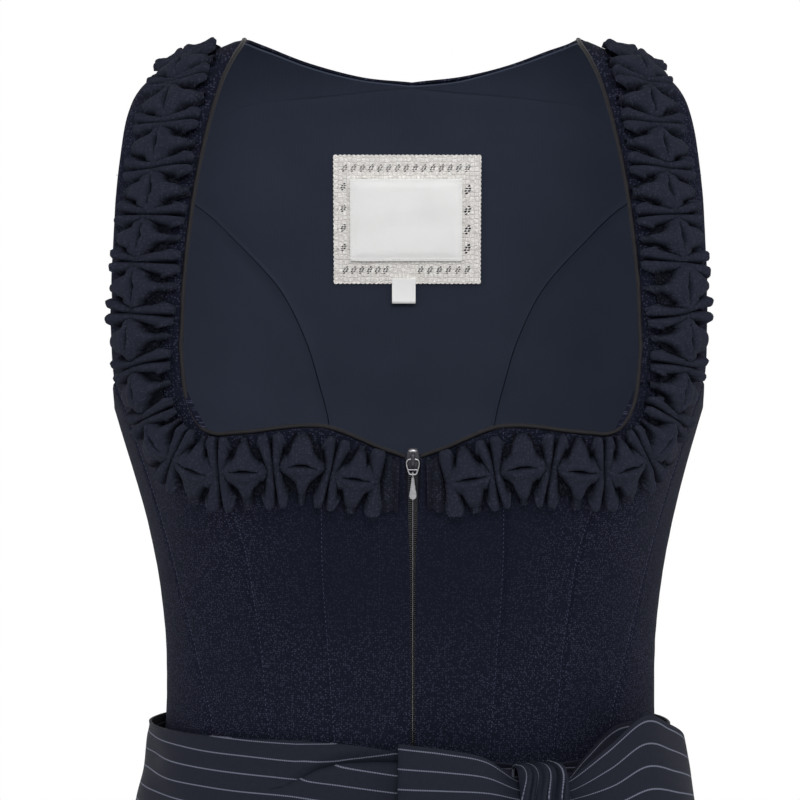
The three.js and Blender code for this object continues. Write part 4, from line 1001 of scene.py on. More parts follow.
def rounded(points, closed, steps=6):
    points = np.array(points, float)
    if not closed:
        place = np.linspace(0, len(points) - 1, (len(points) - 1) * steps + 1)
        return np.stack([smoothAt(points[:, axis], place) for axis in range(points.shape[1])], -1)
    wide = np.concatenate([points[-2:], points, points[:3]])
    place = np.linspace(2, 2 + len(points), len(points) * steps, endpoint=False)
    return np.stack([smoothAt(wide[:, axis], place) for axis in range(points.shape[1])], -1)


chain = {"from": 10.4, "later": 0.013, "above": 0.02, "columns": 1.3, "lift": -0.15, "pitch": 1.0, "length": 0.34,
    "width": 1.5, "height": 0.6, "ribFrom": 10.9, "ribRadius": 0.2}


def addSlider():
    outline = [(-2.1, 0.1), (0, -0.1), (2.1, 0.1), (2.8, 1.6), (3, 3.6), (2.8, 5.6), (2.5, 7.6), (2.3, 9.6),
        (-2.3, 9.6), (-2.5, 7.6), (-2.8, 5.6), (-3, 3.6), (-2.8, 1.6)]
    body = plateMesh("slider_top", outline, 0.35, 1.4, 0.22)
    back = plateMesh("slider_back", outline, -3.0, -2.0, 0.2)
    neck = plateMesh("slider_neck", [(-1.9, 0.2), (1.9, 0.2), (0.4, 3.2), (-0.4, 3.2)], -2.1, 0.5, 0.1)
    arch = rounded([(1.2, 1.5), (2.5, 1.7), (3.4, 2.2), (3.8, 3.2), (3.8, 4.8), (3.8, 6.4), (3.3, 7.5), (2.3, 8.0),
        (1.2, 8.2)], False, 4)
    bridge = wire("slider_bridge", sliderPlace(arch[:, 0], arch[:, 1], 0 * arch[:, 0]), 0.42, (1, 0, 0), flat=2.2)
    piece = addObject(joinedMesh("zip_slider_body", [body, back, neck, bridge]), darkCoatAndShadeMetal)
    dress(piece, "garment", "zip_dark_metal", "zip_slider")
    share = np.linspace(0, 1, 9)
    path = sliderPlace(1.15 + 0 * share, 0.7 + 0 * share, 2.2 * (2 * share - 1))
    width = np.sqrt(np.clip(1 - (2 * share - 1) ** 2, 0.02, 1))[:, None, None]
    crown = cordMesh("slider_crown", path, np.tile(sliderOut, (len(share), 1)), ringCurve(12, 0.95, 0.8)[None] * width)
    piece = addObject(joinedMesh("zip_slider_crown", [crown]), brightMetal)
    dress(piece, "garment", "zip_bright_metal")


def addLink():
    outline = rounded([(-2.2, 0.1), (0, -0.1), (2.2, 0.1), (3.0, 1.3), (2.95, 3.0), (2.35, 5.2), (1.75, 6.7),
        (1.0, 7.2), (-1.0, 7.2), (-1.75, 6.7), (-2.35, 5.2), (-2.95, 3.0), (-3.0, 1.3)], True, 4)
    ring = wire("link_ring", hangPlace(0, outline[:, 1], outline[:, 0]), 0.42, (0, -1, 0), True)
    bar = wire("link_bar", hangPlace(0, 5.0, np.linspace(-2.4, 2.4, 8)), 0.3, (0, -1, 0))
    piece = addObject(joinedMesh("zip_link_ring", [ring, bar]), brightMetal)
    dress(piece, "pull_ring", "zip_bright_metal", "zip_link")


def addPull():
    turns, radius, drop = np.linspace(0, 2 * math.pi, 24, endpoint=False), 1.3, 7.2
    eyePath = hangPlace(radius * np.cos(turns), drop + radius * np.sin(turns), 0)
    eye = wire("pull_eye", eyePath, 0.33, (1, 0, 0), True)
    stations = table("down width depth", [(8.4, 0.5, 0.4), (9.2, 0.7, 0.46), (11.2, 0.95, 0.5), (14.2, 1.35, 0.52),
        (16.8, 1.72, 0.52), (18, 1.68, 0.5), (18.9, 1.25, 0.42), (19.35, 0.55, 0.22)])
    place = np.linspace(0, 7, 43)
    down, width, depth = (smoothAt(stations[name], place) for name in ("down", "width", "depth"))
    circle = ringCurve(16, 1, 1)
    shape = np.stack([width[:, None] * circle[None, :, 0], depth[:, None] * circle[None, :, 1]], -1)
    path = hangPlace(0 * down, down, 0 * down)
    bar = cordMesh("pull_bar", path, np.tile([0.0, -1.0, 0.0], (len(place), 1)), shape)
    piece = addObject(joinedMesh("zip_pull_tab", [eye, bar]), brightMetal)
    dress(piece, "pull_tab", "zip_bright_metal", "zip_pull")


def addTeeth():
    lines, low = [], waistLevel - chain["above"]
    for side, later in ((1, 0), (-1, chain["later"])):
        level = np.linspace(chain["from"] + later, low, 120)
        angle = 0.5 * side * chain["columns"] / torsoPoint(0.5, level)[:, 0]
        lines.append((torsoPlace(angle, level, chain["lift"]), torsoNormal(angle, level)))
    teeth = repeated("zip_teeth", lines, chain, teethMetal, box=True)
    dress(teeth, "garment", "zip_bright_metal")
    level, radius = np.linspace(chain["ribFrom"], low, 110), chain["ribRadius"]
    path, ups = torsoPlace(0 * level, level, radius), torsoNormal(0 * level, level)
    piece = addObject(cordMesh("zip_rib", path, ups, ringCurve(8, radius, radius)), brightMetal)
    dress(piece, "garment", "zip_bright_metal")


def tapeMaterial():
    finish = Finish("zip_tape_weave")
    place = finish.place()
    ribs = finish.noise(place, 1500, 2)
    colour = finish.colour(ribs, srgb(18, 19, 26), srgb(30, 31, 40))
    return finish.done(colour, 0.8, [(ribs, 0.05)], Specular_IOR_Level=0.05)


addSlider()
addLink()
addPull()
addTeeth()
tapeWeave = tapeMaterial()
for name in ("zip_tape_left", "zip_tape_right", "zip_chain"):
    for slot in bpy.data.objects[name].material_slots:
        slot.material = tapeWeave
print("zip")

# Ruched trim: mouths at whole rows and double ribs at half rows
trimLine = table("angle level upper lower", [(2.45, 10.83, 14, 15), (5.2, 10.82, 15, 16), (9.8, 10.72, 16, 17),
    (18.7, 10.5, 16, 18), (28.6, 10.59, 16, 18), (37.7, 10.55, 17, 17.5), (45.9, 10.06, 18, 16), (48.9, 9.1, 19, 15),
    (47.8, 8.06, 20, 14.5), (44.6, 7.05, 20, 15), (42.7, 6.05, 19, 15), (40.1, 5.07, 18, 15.5),
    (38.6, 4.02, 17.5, 15.5), (36.6, 2.9, 17, 16), (34.6, 1.52, 16.5, 16), (33.4, 0.02, 16, 16)])
trim = {"drawn": 0.68, "step": 0.62, "across": 56, "base": 0.55, "thickness": 0.7, "unshadedHeight": 5.0, "floor": 0.3}
lobe = {"half": 10.0, "height": 6.6, "reach": 14.2, "tip": 1.5, "lower": 0.72, "lowerTip": 2.2, "square": 2.4,
    "lipAway": 2.8, "lipWidth": 1.7, "lipHeight": 0.8, "slit": 4.2, "slitLength": 0.72,
    "gathers": 6, "gatherReach": 6.5, "gatherHeight": 0.7}
rib = {"height": 6.0, "near": 1.6, "flare": 2.3, "half": 1.4, "grow": 1.35, "first": 1.36, "square": 2.8,
    "end": 0.92, "rim": 1.02}


def trimLengths():
    # row places close together along the middle of the trim, and the length up to each
    count = len(trimLine["angle"])
    dense = np.linspace(0, count - 1, 60 * (count - 1) + 1)
    return dense, runningLength(torsoPoint(smoothAt(trimLine["angle"], dense), smoothAt(trimLine["level"], dense)))


def lobeField(s, y, own):
    # height of one lobe, s along the trim and y across it, with its slit and the gathers at its tips
    half = lobe["half"] * (1 + 0.08 * own[0])
    s = s - 0.9 * own[1] * y / 16
    y = y - (0.7 * own[2] + 1.0 * own[3] * s / half)
    share = np.clip(np.abs(y) / (lobe["reach"] + own[4]), 0, 1)
    width = half * (1 - share ** 1.08 * np.where(y < 0, lobe["lower"], 1)) + lobe["tip"]
    width = width - lobe["lowerTip"] * (y < 0) * share
    inside = np.clip(1 - (np.abs(s) / width) ** lobe["square"], 0, 1)
    height = lobe["height"] * inside ** 0.4 * (1 - 0.3 * share - 0.25 * share ** 6)
    lip = np.exp(-((np.abs(y) - lobe["lipAway"]) / lobe["lipWidth"]) ** 2)
    lip = lip * (1 - (np.clip(np.abs(s) / half, 0, 1)) ** 2)
    opening = np.clip(1 - (np.abs(s + 1.2 * own[7]) / (half * lobe["slitLength"])) ** 2, 0, 1)
    curved = y - 0.9 * own[6] * np.cos(s / half * 2)
    slit = np.exp(-(np.abs(curved) / (0.35 + 0.85 * opening)) ** 3) * np.sqrt(opening)
    corner = np.hypot(np.abs(s) - half, y * 0.9)
    fan = np.arctan2(y, half + 1.2 - np.abs(s))
    gather = np.sin(fan * (lobe["gathers"] + own[5]) + own[6] * 3) * np.exp(-corner / lobe["gatherReach"])
    gather = gather * lobe["gatherHeight"]
    height = height + (lobe["lipHeight"] * lip + gather) * inside ** 0.5 - lobe["slit"] * slit
    return np.where(inside > 0, height, 0)


def ribFields(s, t, away, own, single):
    # heights of the one or two ribs between two lobes, t across from -1 to 1
    s = s - 1.3 * own[0] * t - 0.5 * own[1] * np.sin(3 * t)
    spread = np.abs(t - 0.06 * own[2])
    apart = 0 if single else rib["near"] + rib["flare"] * spread ** 1.3
    half = (rib["half"] + rib["grow"] * spread) * (1.5 if single else 1)
    for way in ((0,) if single else (-1, 1)):
        near = (s - way * apart) / half
        bulge = np.clip(1 - np.abs(near) ** rib["square"], 0, 1) ** 0.55
        end = rib["end"] + 0.03 * own[4 + way]
        cap = np.sqrt(np.clip(1 - np.clip((away - end) / (rib["rim"] - end), 0, 1) ** 2, 0, 1))
        high = rib["height"] * (0.62 + 0.38 * spread) * (1 + 0.08 * own[5])
        yield high * bulge * cap + 0.25 * np.sin(near * 5 + own[6]) * bulge


def trimField(rows, side):
    # height of the ruching over its flat base, for each row place and share across
    count = len(trimLine["angle"])
    dense, length = trimLengths()
    place = np.interp(rows, dense, length)
    generator = np.random.default_rng(20 + side)
    t = np.linspace(-1, 1, trim["across"] + 1)[None]
    reach = np.where(t > 0, smoothAt(trimLine["upper"], rows)[:, None], smoothAt(trimLine["lower"], rows)[:, None])
    y = t * reach
    height, away = np.zeros(y.shape), np.abs(t) + 0 * y
    for number in range(2, count):
        own = generator.uniform(-1, 1, 8)
        height = np.maximum(height, lobeField(place[:, None] - np.interp(number, dense, length), y, own))
    for number in range(1, count - 1):
        own = generator.uniform(-1, 1, 8)
        s = place[:, None] - np.interp(rib["first"] if number == 1 else number + 0.5, dense, length)
        for field in ribFields(s, t, away, own, number == 1):
            height = np.maximum(height, field)
    # the plain tab at the start, with two soft folds
    tab = np.clip((1.05 - rows) / 0.12, 0, 1)[:, None]
    folds = 1.6 + 0.5 * np.cos(2 * math.pi * (place[:, None] / 5.2)) * (1 - 0.4 * away)
    height = height * (1 - tab) + folds * tab
    between = softNoise(np.stack([place[:, None] + 0 * y, y, 0 * y], -1), 7, 60 + side) * 0.22
    return height + between + trim["floor"], y, place


def trimSurface(rows, y):
    middle = {name: smoothAt(trimLine[name], rows) for name in ("angle", "level")}
    ahead = {name: smoothAt(trimLine[name], np.minimum(rows + 0.02, len(trimLine["angle"]) - 1)) for name in middle}
    behind = {name: smoothAt(trimLine[name], np.maximum(rows - 0.02, 0)) for name in middle}
    tangent = unit(torsoPoint(ahead["angle"], ahead["level"]) - torsoPoint(behind["angle"], behind["level"]))
    normal = torsoNormal(middle["angle"], middle["level"])
    across = unit(np.cross(normal, tangent))
    byAngle = torsoPoint(middle["angle"] + 0.5, middle["level"]) - torsoPoint(middle["angle"] - 0.5, middle["level"])
    lower = np.maximum(middle["level"] - 0.05, 0)
    step = (middle["level"] + 0.05 - lower)[:, None]
    byLevel = (torsoPoint(middle["angle"], middle["level"] + 0.05) - torsoPoint(middle["angle"], lower)) / step
    aa, al, ll = (byAngle ** 2).sum(-1), (byAngle * byLevel).sum(-1), (byLevel ** 2).sum(-1)
    pa, pl = (across * byAngle).sum(-1), (across * byLevel).sum(-1)
    determinant = aa * ll - al * al
    angle = middle["angle"][:, None] + ((pa * ll - pl * al) / determinant)[:, None] * y
    level = middle["level"][:, None] + ((pl * aa - pa * al) / determinant)[:, None] * y
    return angle, np.maximum(level, 0.02)


def addTrim():
    dense, length = trimLengths()
    rows = np.interp(np.arange(0, length[-1], trim["step"]), length, dense)
    for side, word in ((1, "left"), (-1, "right")):
        height, y, place = trimField(rows, side)
        # the edge draws in where there is neither rib nor lobe
        edge = np.clip((height[:, [8, -9]] - 0.6) / 2.2, 0, 1)
        edge = np.stack([np.convolve(edge[:, way], np.ones(3) / 3, "same") for way in (0, 1)], -1)
        pull = trim["drawn"] + (1 - trim["drawn"]) * np.where(y > 0, edge[:, 1:], edge[:, :1])
        angle, level = trimSurface(rows, y * pull)
        points = torsoPlace(angle, level, bodicePanel["thickness"] + trim["base"] + height)
        points[..., 0] *= side
        across = np.cumsum(np.linalg.norm(np.diff(points, axis=1, prepend=points[:, :1]), axis=2), 1)
        uv = np.stack([place[:, None] + 0 * y, across - across[:, [trim["across"] // 2]]], -1) * millimetre
        mesh = sheetMesh(f"ruched_trim_{word}_cloth", [(points, uv)], flip=side > 0)
        # share of full height, which the trim's material turns into painted shade in the low places
        raised = np.clip(height / trim["unshadedHeight"], 0, 1).ravel().astype(np.float32)
        mesh.attributes.new("raised", "FLOAT", "POINT").data.foreach_set("value", raised)
        piece = addObject(mesh, trimMaterial)
        thickened(piece, trim["thickness"], -1, 60)
        dress(piece, "garment", "trim_cloth", f"ruched_trim_{word}")


addTrim()
print("ruched trim")

# Skirt, apron and sash: rings by drop with half width and depths, folds in millimetres
skirtRings = table("drop half front back fold", [
    (352.3, 121.5, 85.5, 82, 0), (372, 126, 90, 88, 2), (400, 128.5, 98, 96, 3), (480, 160, 124, 124, 5),
    (620, 206, 165, 168, 8), (790, 243, 203, 207, 10.5), (972, 269, 232, 236, 12.5), (1002, 272, 236, 240, 13),
])
apronBandRings = table("drop half front back", [(354, 125.7, 89.9, 86.9), (372, 131.7, 95.7, 93.7)])
sashRings = table("drop half front back", [
    (341, 129, 89.4, 86), (352, 130.4, 91.6, 88), (364, 132.4, 95.3, 92), (372, 134, 97.8, 95),
    (384, 136.2, 101.8, 100.2), (396, 139.6, 106.6, 105.4),
])


def byDrop(rings, name, drop):
    # straight reading, carried on past the last ring
    values, drops = rings[name], rings["drop"]
    rate = (values[-1] - values[-2]) / (drops[-1] - drops[-2])
    return np.interp(drop, drops, values) + np.maximum(0, drop - drops[-1]) * rate


def softByDrop(rings, name, drop):
    # the same reading with its corners rounded
    spread = np.linspace(-12, 12, 7)
    low, high = rings["drop"][0], rings["drop"][-1]
    near = np.clip(np.minimum(drop - low, high - drop) / 14, 0, 1)
    inside = [np.clip(drop + shift * near, low, None) for shift in spread]
    return np.mean([byDrop(rings, name, place) for place in inside], axis=0)


def ringPoint(rings, angle, drop, out, read=byDrop):
    angle, drop = np.broadcast_arrays(np.asarray(angle, float), np.asarray(drop, float))
    sine, cosine = np.sin(np.radians(angle)), np.cos(np.radians(angle))
    half = read(rings, "half", drop)
    depth = np.where(cosine > 0, read(rings, "front", drop), read(rings, "back", drop))
    x, y = half * sine * (1 + 0.1 * cosine ** 2), -depth * cosine * (1 + 0.1 * sine ** 2)
    flat = np.stack([sine * depth, -cosine * half], -1)
    flat = unit(flat) * np.asarray(out)[..., None]
    return np.stack([x + flat[..., 0], y + flat[..., 1], -drop], -1)


stripes = {"pitch": 0.0084, "width": 0.00058, "ground": srgb(22, 24, 33), "line": srgb(92, 95, 108)}


def stripedMaterial():
    finish = Finish("pinstripe")
    vector, u, v = finish.uv()
    place = (v / stripes["pitch"]).fraction()
    off = (place - 0.5).absolute() * stripes["pitch"]
    dashes = u.waves(0.0011)
    mask = off.fade(stripes["width"] * 0.62, stripes["width"] * 0.38) * dashes.fade(-1.6, 0.2)
    ground = finish.colour(finish.noise(vector, 500, 2), stripes["ground"], lighter(stripes["ground"], 1.35))
    threads = u.waves(0.0005) * v.waves(0.0005)
    colour = finish.colour(mask, ground, stripes["line"])
    return finish.done(colour, 0.65, [(threads, 0.025)], Specular_IOR_Level=0.05)


def skirtClothMaterial():
    finish = Finish("navy_skirt")
    vector, u, v = finish.uv()
    ground = srgb(25, 28, 41)
    colour = finish.colour(finish.noise(vector, 400, 2), ground, lighter(ground, 1.3))
    threads = u.waves(0.0007) * v.waves(0.0007)
    return finish.done(colour, 0.75, [(threads, 0.03)], Specular_IOR_Level=0.05)


stripedCloth, skirtCloth = stripedMaterial(), skirtClothMaterial()
skirt = {"panels": ["skirt_front_left", "skirt_back_left", "skirt_back_right", "skirt_front_right"], "folds": 12,
    "columns": 150, "rows": 74, "thickness": 1.3, "gather": 1.3, "gathers": 56, "flat": 1.62, "radius": 235,
    "top": 352.3, "hem": 1002, "seam": 0.03}
apron = {"half": 75, "top": 371, "hem": 972, "thickness": 0.9, "away": 0.9, "bandHalf": 80, "bandTop": 354,
    "bandFoot": 372, "bandThickness": 1.4}


def foldPlace(angle):
    return (angle + 1.5 * np.sin(np.radians(4 * angle)) + 0.5 * np.sin(np.radians(12 * angle))) / 360


def skirtFold(angle, drop):
    turn = foldPlace(angle)
    wave = -np.cos(2 * math.pi * skirt["folds"] * turn)
    wave = wave - 0.16 * np.cos(4 * math.pi * skirt["folds"] * turn + 0.6)
    uneven = 1 + 0.22 * np.sin(np.radians(5 * angle + 40)) + 0.14 * np.sin(np.radians(9 * angle))
    fine = np.cos(2 * math.pi * (skirt["gathers"] * turn + 0.35 * np.sin(6 * math.pi * turn + drop / 300)))
    share = np.exp(-np.maximum(0, drop - 385) / 95) * np.clip((drop - 352) / 22, 0, 1)
    return byDrop(skirtRings, "fold", drop) * uneven * wave + skirt["gather"] * share * fine


def skirtPoints(fromAngle, toAngle, fromDrop, toDrop, columns, rows, out):
    angle = np.linspace(fromAngle, toAngle, columns + 1)[None, :]
    drop = (fromDrop + (toDrop - fromDrop) * np.linspace(0, 1, rows + 1) ** 1.12)[:, None]
    points = ringPoint(skirtRings, angle, drop, out + skirtFold(angle, drop), softByDrop)
    width = 2 * math.pi * skirt["radius"] * skirt["flat"]
    uv = np.stack(np.broadcast_arrays(drop * millimetre, foldPlace(angle) * width * millimetre), -1)
    return points, uv


def addSkirt():
    for number, name in enumerate(skirt["panels"]):
        turn = 360 if number * 90 >= 180 else 0
        low, high = number * 90 + skirt["seam"] - turn, number * 90 + (90 - skirt["seam"]) - turn
        grid = skirtPoints(low, high, skirt["top"], skirt["hem"], skirt["columns"] // 2, skirt["rows"], 0)
        piece = addObject(sheetMesh(f"{name}_cloth", [grid]), skirtCloth)
        thickened(piece, skirt["thickness"], 1)
        dress(piece, "garment", "skirt_cloth", name)


def addApron():
    grid = skirtPoints(-apron["half"], apron["half"], apron["top"], apron["hem"], skirt["columns"], skirt["rows"],
        skirt["thickness"] + apron["away"])
    piece = addObject(sheetMesh("apron_panel_cloth", [grid]), stripedCloth)
    thickened(piece, apron["thickness"], 1)
    dress(piece, "garment", "striped_cloth", "apron_panel")
    angle = np.linspace(-apron["bandHalf"], apron["bandHalf"], 81)[None, :]
    drop = np.linspace(apron["bandTop"], apron["bandFoot"], 8)[:, None]
    uv = np.stack(np.broadcast_arrays(np.radians(angle) * 0.13, drop * millimetre), -1)
    piece = addObject(sheetMesh("apron_band_cloth", [(ringPoint(apronBandRings, angle, drop, 0), uv)]), stripedCloth)
    thickened(piece, apron["bandThickness"], 1)
    dress(piece, "garment", "striped_cloth", "apron_band")


addSkirt()
addApron()
print("skirt and apron")

# Sash: its upper cloth dives under a fold that runs to the bow
sashTop = table("angle drop", [(-180, 341), (-68, 339.3), (-36, 339.5), (-23, 339.2), (-16, 340.3), (-8, 342.2),
    (-2, 344.3), (18, 349.8), (25, 352), (36, 349.8), (52, 342), (67, 340.5), (180, 341)])
sashFold = table("angle drop", [(-60, 371), (-40, 367.5), (-26.2, 363.2), (-23.8, 360.4), (-18.4, 353.8),
    (-13.8, 350.9), (-7.9, 350.1), (-2.4, 350.1), (20, 354), (30, 356), (60, 362), (75, 364)])
stripeShift = table("angle upper lower", [(-180, 0.6, 0.6), (-77, 0.6, 0.6), (-60, -1.2, -1.2), (-23.5, -4.8, -4.8),
    (-15.4, -3.8, -6.8), (-3.5, 0.4, -10.4), (20, 1, -12), (40, 0, -8), (80, -2, -4), (180, 0, 0)])
sash = {"thickness": 1.4, "foot": 396, "above": 22, "below": 34, "ease": 0.8, "dive": 2.6, "ridge": 3.0}


def byAngle(lines, name, angle):
    return np.interp(angle, lines["angle"], lines[name])


def sashPlace(angle, drop, out):
    return ringPoint(sashRings, angle, drop, np.asarray(out) + sash["thickness"])


def addSash():
    angle = np.concatenate([np.linspace(-180, -66, 58), np.linspace(-65, 80, 260), np.linspace(82, 180, 50)])[None, :]
    top, foot = byAngle(sashTop, "drop", angle), sash["foot"]
    fold = np.clip(byAngle(sashFold, "drop", angle), top + 4, foot - 6)
    above = np.linspace(0, 1, sash["above"] + 1)[:, None] ** 0.9
    below = np.linspace(0, 1, sash["below"] + 1)[1:, None] ** 1.5
    strength = np.clip((angle + 31) / 15, 0, 1) * np.clip((62 - angle) / 20, 0, 1)
    strength = strength * strength * (3 - 2 * strength)
    upper, lower = top + (fold - top) * above, fold + (foot - fold) * below
    outUpper = -sash["dive"] * np.exp(-(fold - upper) / 3.0) * strength
    outUpper = outUpper + 0.9 * strength * np.exp(-((fold - upper - 7) / 3.0) ** 2)
    depth = lower - fold
    outLower = sash["ridge"] * (1 - np.exp(-(depth + 0.4) / 1.0)) * np.exp(-depth / 16) * strength
    drop, out = np.concatenate([upper, lower]), np.concatenate([outUpper, outLower])
    angles = np.broadcast_to(angle, drop.shape)
    flat = np.stack([angles * 2.1, 3.4 * drop, 0 * drop], -1)
    out = out + sash["ease"] * softNoise(flat, 60, 31) * np.clip((drop - top) / 6, 0.15, 1)
    out = out + 0.5 * np.exp(-(drop - top) / 1.6)
    shift = np.concatenate([np.broadcast_to(byAngle(stripeShift, "upper", angle), upper.shape),
        np.broadcast_to(byAngle(stripeShift, "lower", angle), lower.shape)])
    uv = np.stack([np.radians(angles) * 0.13, (drop - 345 + shift - 4.2) * millimetre], -1)
    points = ringPoint(sashRings, angles, drop, out)
    piece = addObject(sheetMesh("sash_cloth", [(points, uv)]), stripedCloth)
    thickened(piece, sash["thickness"], 1)
    dress(piece, "garment", "striped_cloth", "sash")


innerLoop = table("angle top bottom out", [(23, 360, 382, 10), (18.6, 355, 385, 11.5), (13, 345.5, 394, 15),
    (6, 341.6, 399, 14), (0, 339.8, 402, 11), (-2.6, 339.6, 403, 6.5), (0, 341, 402, 2.4), (7, 344, 398, 1.1),
    (13, 350, 391, 1.4), (18.6, 358, 384, 3), (23, 362, 381, 3.4)])
outerLoop = table("angle top bottom out", [(25.4, 360, 382, 11), (30.4, 357, 385, 13.5), (38, 342, 396, 21),
    (47, 327.5, 400, 23), (57, 333.5, 402, 20), (67, 341, 403, 15), (73, 348, 402, 9), (70, 341, 399, 3),
    (60, 335, 397, 1.4), (48, 334, 394, 1.2), (38, 347, 391, 1.2), (30.4, 360, 384, 3), (25.4, 362, 381, 3.4)])
knot = {"from": 19.6, "to": 29.4, "drop": 371, "halfDrop": 21, "out": 9.4, "halfOut": 8.3}
bow = {"thickness": 1.1, "steps": 10, "rows": 44}


def addLoop(name, stations, seed):
    count = len(stations["angle"]) - 1
    row = np.linspace(0, count, count * bow["steps"] + 1)[:, None]
    t = np.linspace(0, 1, bow["rows"] + 1)[None, :]
    get = {key: smoothAt(values, row) for key, values in stations.items()}
    width = get["bottom"] - get["top"]
    drop = get["top"] + width * t
    near = np.clip(1 - np.minimum(row, count - row) / 2.6, 0, 1)
    front = np.clip(1 - (row - count * 0.42) / (count * 0.1), 0, 1)
    swell = 2.2 * np.sin(math.pi * t) * np.sin(math.pi * np.clip(row / (count * 0.5), 0, 1)) * front
    pleats = 1.5 * np.sin(2 * math.pi * (2.3 * t + 0.12 * row) + seed) + 0.8 * np.sin(2 * math.pi * 5.1 * t + seed)
    pleats = near * pleats
    flat = np.stack([row * 16 + 0 * t, 50 * t + 0 * row, 0 * row * t], -1)
    ripple = 0.7 * softNoise(flat, 34, seed)
    out = get["out"] + swell + (pleats * 0.75 + ripple) * np.where(front > 0.5, 1, 0.35)
    points = sashPlace(np.broadcast_to(get["angle"], drop.shape), drop, out)
    lengths = edgeDistance(points, "t")
    uv = np.stack([lengths * millimetre, (t * 56 + 2) * millimetre + 0 * lengths], -1)
    piece = addObject(sheetMesh(f"{name}_cloth", [(points, uv)], flip=True), stripedCloth)
    thickened(piece, bow["thickness"], 0)
    dress(piece, "garment", "striped_cloth", name)


def squarer(values):
    return np.sign(values) * np.abs(values) ** 0.5


def addKnot():
    turns, steps = 160, 60
    turn = (np.arange(turns + 1) / turns * 2 * math.pi)[:, None]
    share = np.linspace(0, 1, steps + 1)[None, :]
    slant = share + 0.07 * np.sin(turn * 2 + 0.6) + 0.04 * np.sin(turn * 3)
    ridge = 1.15 * np.sin(2 * math.pi * 2.6 * slant + 0.4)
    ridge = ridge + 0.65 * np.sin(2 * math.pi * 5.7 * slant + 1.7 * np.sin(turn))
    ridge = ridge + 0.5 * np.sin(2 * math.pi * 9.1 * slant + 2)
    edge = np.clip(np.minimum(share, 1 - share) / 0.09, 0, 1) ** 0.5
    swell = (1.3 + ridge) * edge - 1.6 * (1 - edge)
    drop = knot["drop"] + (knot["halfDrop"] + 0.35 * swell) * (0.96 + 0.04 * edge) * squarer(np.sin(turn))
    out = knot["out"] + (knot["halfOut"] + swell) * squarer(np.cos(turn))
    out = np.where(np.cos(turn) < -0.4, np.maximum(out, knot["out"] - knot["halfOut"]), out)
    angle = knot["from"] + (knot["to"] - knot["from"]) * share + 0 * turn
    points = sashPlace(angle, drop, out)
    uv = np.stack([turn * 15 + 0 * share, 34 * slant + 3], -1) * millimetre
    piece = addObject(sheetMesh("bow_knot_cloth", [(points, uv)], flip=True), stripedCloth)
    thickened(piece, bow["thickness"], 0)
    dress(piece, "garment", "striped_cloth", "bow_knot")


innerTail = table("angle drop width out", [(21.4, 393.4, 9, 18), (19.5, 412, 20, 17), (15.5, 450, 40, 15),
    (13.5, 560, 48, 15.5), (12, 700, 50, 18.5), (11.5, 790, 51, 20.5)])
outerTail = table("angle drop width out", [(27.8, 393.4, 9, 18), (31, 412, 20, 17), (34.5, 450, 40, 15),
    (35, 560, 48, 15.5), (33.5, 700, 50, 18.5), (33, 762, 51, 20.5)])


def addTail(name, stations, seed):
    count = len(stations["angle"]) - 1
    row = np.linspace(0, count, count * 16 + 1)[:, None]
    t = np.linspace(-0.5, 0.5, 25)[None, :]
    get = {key: smoothAt(values, row) for key, values in stations.items()}
    left, right = (ringPoint(skirtRings, get["angle"] + way, get["drop"], get["out"]) for way in (-0.5, 0.5))
    reach = np.linalg.norm(right - left, axis=-1)
    pinch = np.exp(-(get["drop"] - 393) / 30)
    curl = 1.5 * np.cos(2 * math.pi * t) + pinch * 1.6 * np.sin(2 * math.pi * 2.4 * t + seed)
    wave = 0.8 * np.sin(get["drop"] / 33 + seed + 2 * t)
    angle = get["angle"] + t * get["width"] / reach
    points = ringPoint(skirtRings, angle, get["drop"] + 0 * t, get["out"] + curl + wave)
    uv = np.stack([get["drop"] + 0 * t, 51 * t + 1.5 + 0 * row], -1) * millimetre
    piece = addObject(sheetMesh(f"{name}_cloth", [(points, uv)]), stripedCloth)
    thickened(piece, bow["thickness"], 0)
    dress(piece, "garment", "striped_cloth", name)


addSash()
addLoop("bow_loop_inner", innerLoop, 3)
addLoop("bow_loop_outer", outerLoop, 5)
addKnot()
addTail("bow_tail_inner", innerTail, 1)
addTail("bow_tail_outer", outerTail, 2)
print("sash and bow")

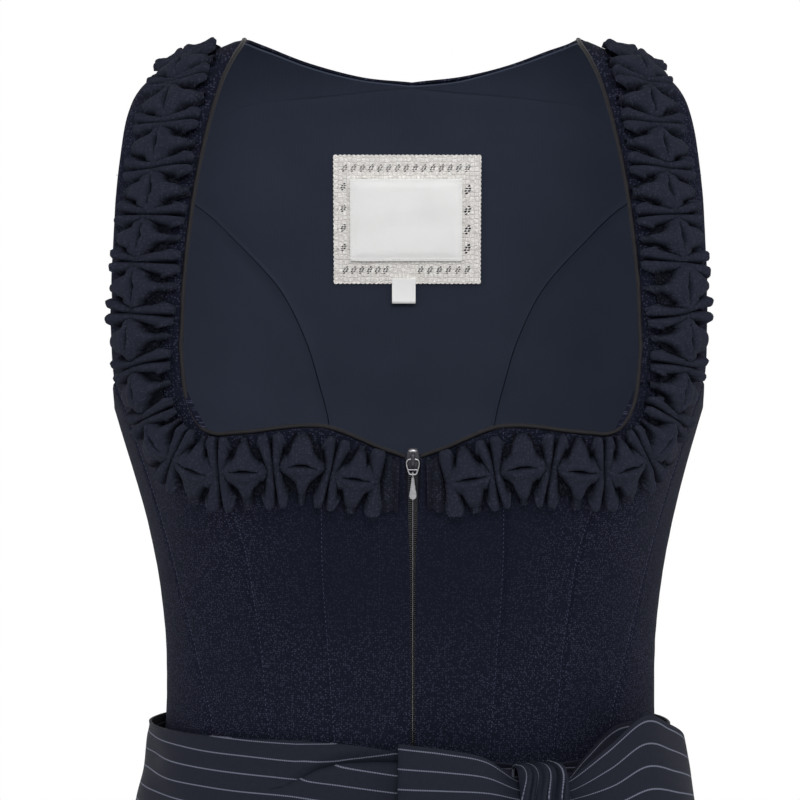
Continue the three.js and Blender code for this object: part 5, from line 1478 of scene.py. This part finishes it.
# Cut of each cloth piece in metres: width, length, area, how it is held and what it lies on
cuts = {
    "bodice_centre_front_left": (0.045, 0.168, 0.0071, "stretched", "bodice_side_front_left"),
    "bodice_side_front_left": (0.115, 0.400, 0.0169, "stretched", "bodice_outer_front_left"),
    "bodice_outer_front_left": (0.085, 0.235, 0.0107, "stretched", "bodice_side_left"),
    "bodice_side_left": (0.068, 0.190, 0.0104, "stretched", "bodice_side_back_left"),
    "bodice_side_back_left": (0.160, 0.290, 0.0353, "stretched", "bodice_centre_back"),
    "bodice_centre_back": (0.300, 0.370, 0.0550, "stretched", "bodice_side_front_left"),
    "lining_centre_back": (0.298, 0.368, 0.0540, "laid", "bodice_centre_back"),
    "lining_side_back_left": (0.158, 0.289, 0.0345, "laid", "bodice_side_back_left"),
    "ruched_trim_left": (0.034, 0.700, 0.0238, "gathered", "bodice_side_front_left"),
    "label_panel": (0.058, 0.0435, 0.0025, "laid", "label_lace"),
    "size_tag": (0.0121, 0.026, 0.00031, "folded", "label_lace"),
    "skirt_front_left": (0.420, 0.652, 0.2738, "gathered", "bodice_side_front_left"),
    "skirt_back_left": (0.420, 0.652, 0.2738, "gathered", "bodice_centre_back"),
    "apron_panel": (0.700, 0.605, 0.4235, "gathered", "apron_band"),
    "apron_band": (0.365, 0.018, 0.0065, "stretched", "skirt_front_left"),
    "sash": (0.790, 0.056, 0.0442, "stretched", "apron_band"),
    "bow_loop_inner": (0.130, 0.056, 0.0072, "folded", "sash"),
    "bow_loop_outer": (0.220, 0.056, 0.0123, "folded", "sash"),
    "bow_knot": (0.100, 0.036, 0.0036, "folded", "sash"),
    "bow_tail_inner": (0.051, 0.385, 0.0196, "hung", "bow_knot"),
    "bow_tail_outer": (0.051, 0.355, 0.0181, "hung", "bow_knot"),
}
for first, (width, length, area, held, under) in cuts.items():
    for side in ("left", "right") if "left" in first else ("left",):
        name, support = first.replace("left", side), under.replace("left", side)
print("cuts")

# Camera, light and floor
view = {"place": (-0.0062, -3.0, 0.031), "tilt": 86, "lens": 270.5}
camera = bpy.data.objects.new("camera", bpy.data.cameras.new("camera"))
camera.location = view["place"]
camera.rotation_euler = (math.radians(view["tilt"]), 0, 0)
camera.data.lens = view["lens"]
camera.data.sensor_width = 36
camera.data.clip_end = 50
scene.collection.objects.link(camera)
scene.camera = camera
scene.view_settings.view_transform = "Standard"

world = bpy.data.worlds.new("studio")
world.use_nodes = True
world.node_tree.nodes["Background"].inputs["Color"].default_value = (1, 1, 1, 1)
world.node_tree.nodes["Background"].inputs["Strength"].default_value = 1.0
scene.world = world

lamps = {
    "left_wall": {"place": (-1.7, -0.3, -0.1), "size": (1.0, 2.0), "power": 7},
    "right_wall": {"place": (1.7, -0.3, -0.1), "size": (1.0, 2.0), "power": 7},
    "front_soft": {"place": (0.3, -2.2, 1.3), "size": (1.2, 0.9), "power": 33},
}
for name, lamp in lamps.items():
    light = bpy.data.lights.new(name, "AREA")
    light.shape = "RECTANGLE"
    light.size, light.size_y = lamp["size"]
    light.energy = lamp["power"]
    holder = bpy.data.objects.new(name, light)
    holder.location = lamp["place"]
    holder.rotation_euler = (Vector((0, 0, -0.2)) - Vector(lamp["place"])).to_track_quat("-Z", "Y").to_euler()
    scene.collection.objects.link(holder)

ground = {"height": -1.012, "corners": ((-3, -4), (3, -4), (3, 3), (-3, 3))}
floorMesh = bpy.data.meshes.new("floor")
floorMesh.from_pydata([(x, y, ground["height"]) for x, y in ground["corners"]], [], [(0, 1, 2, 3)])
addObject(floorMesh, Finish("pale_floor").done((0.9, 0.9, 0.9), 0.9))
print("camera, light and floor")
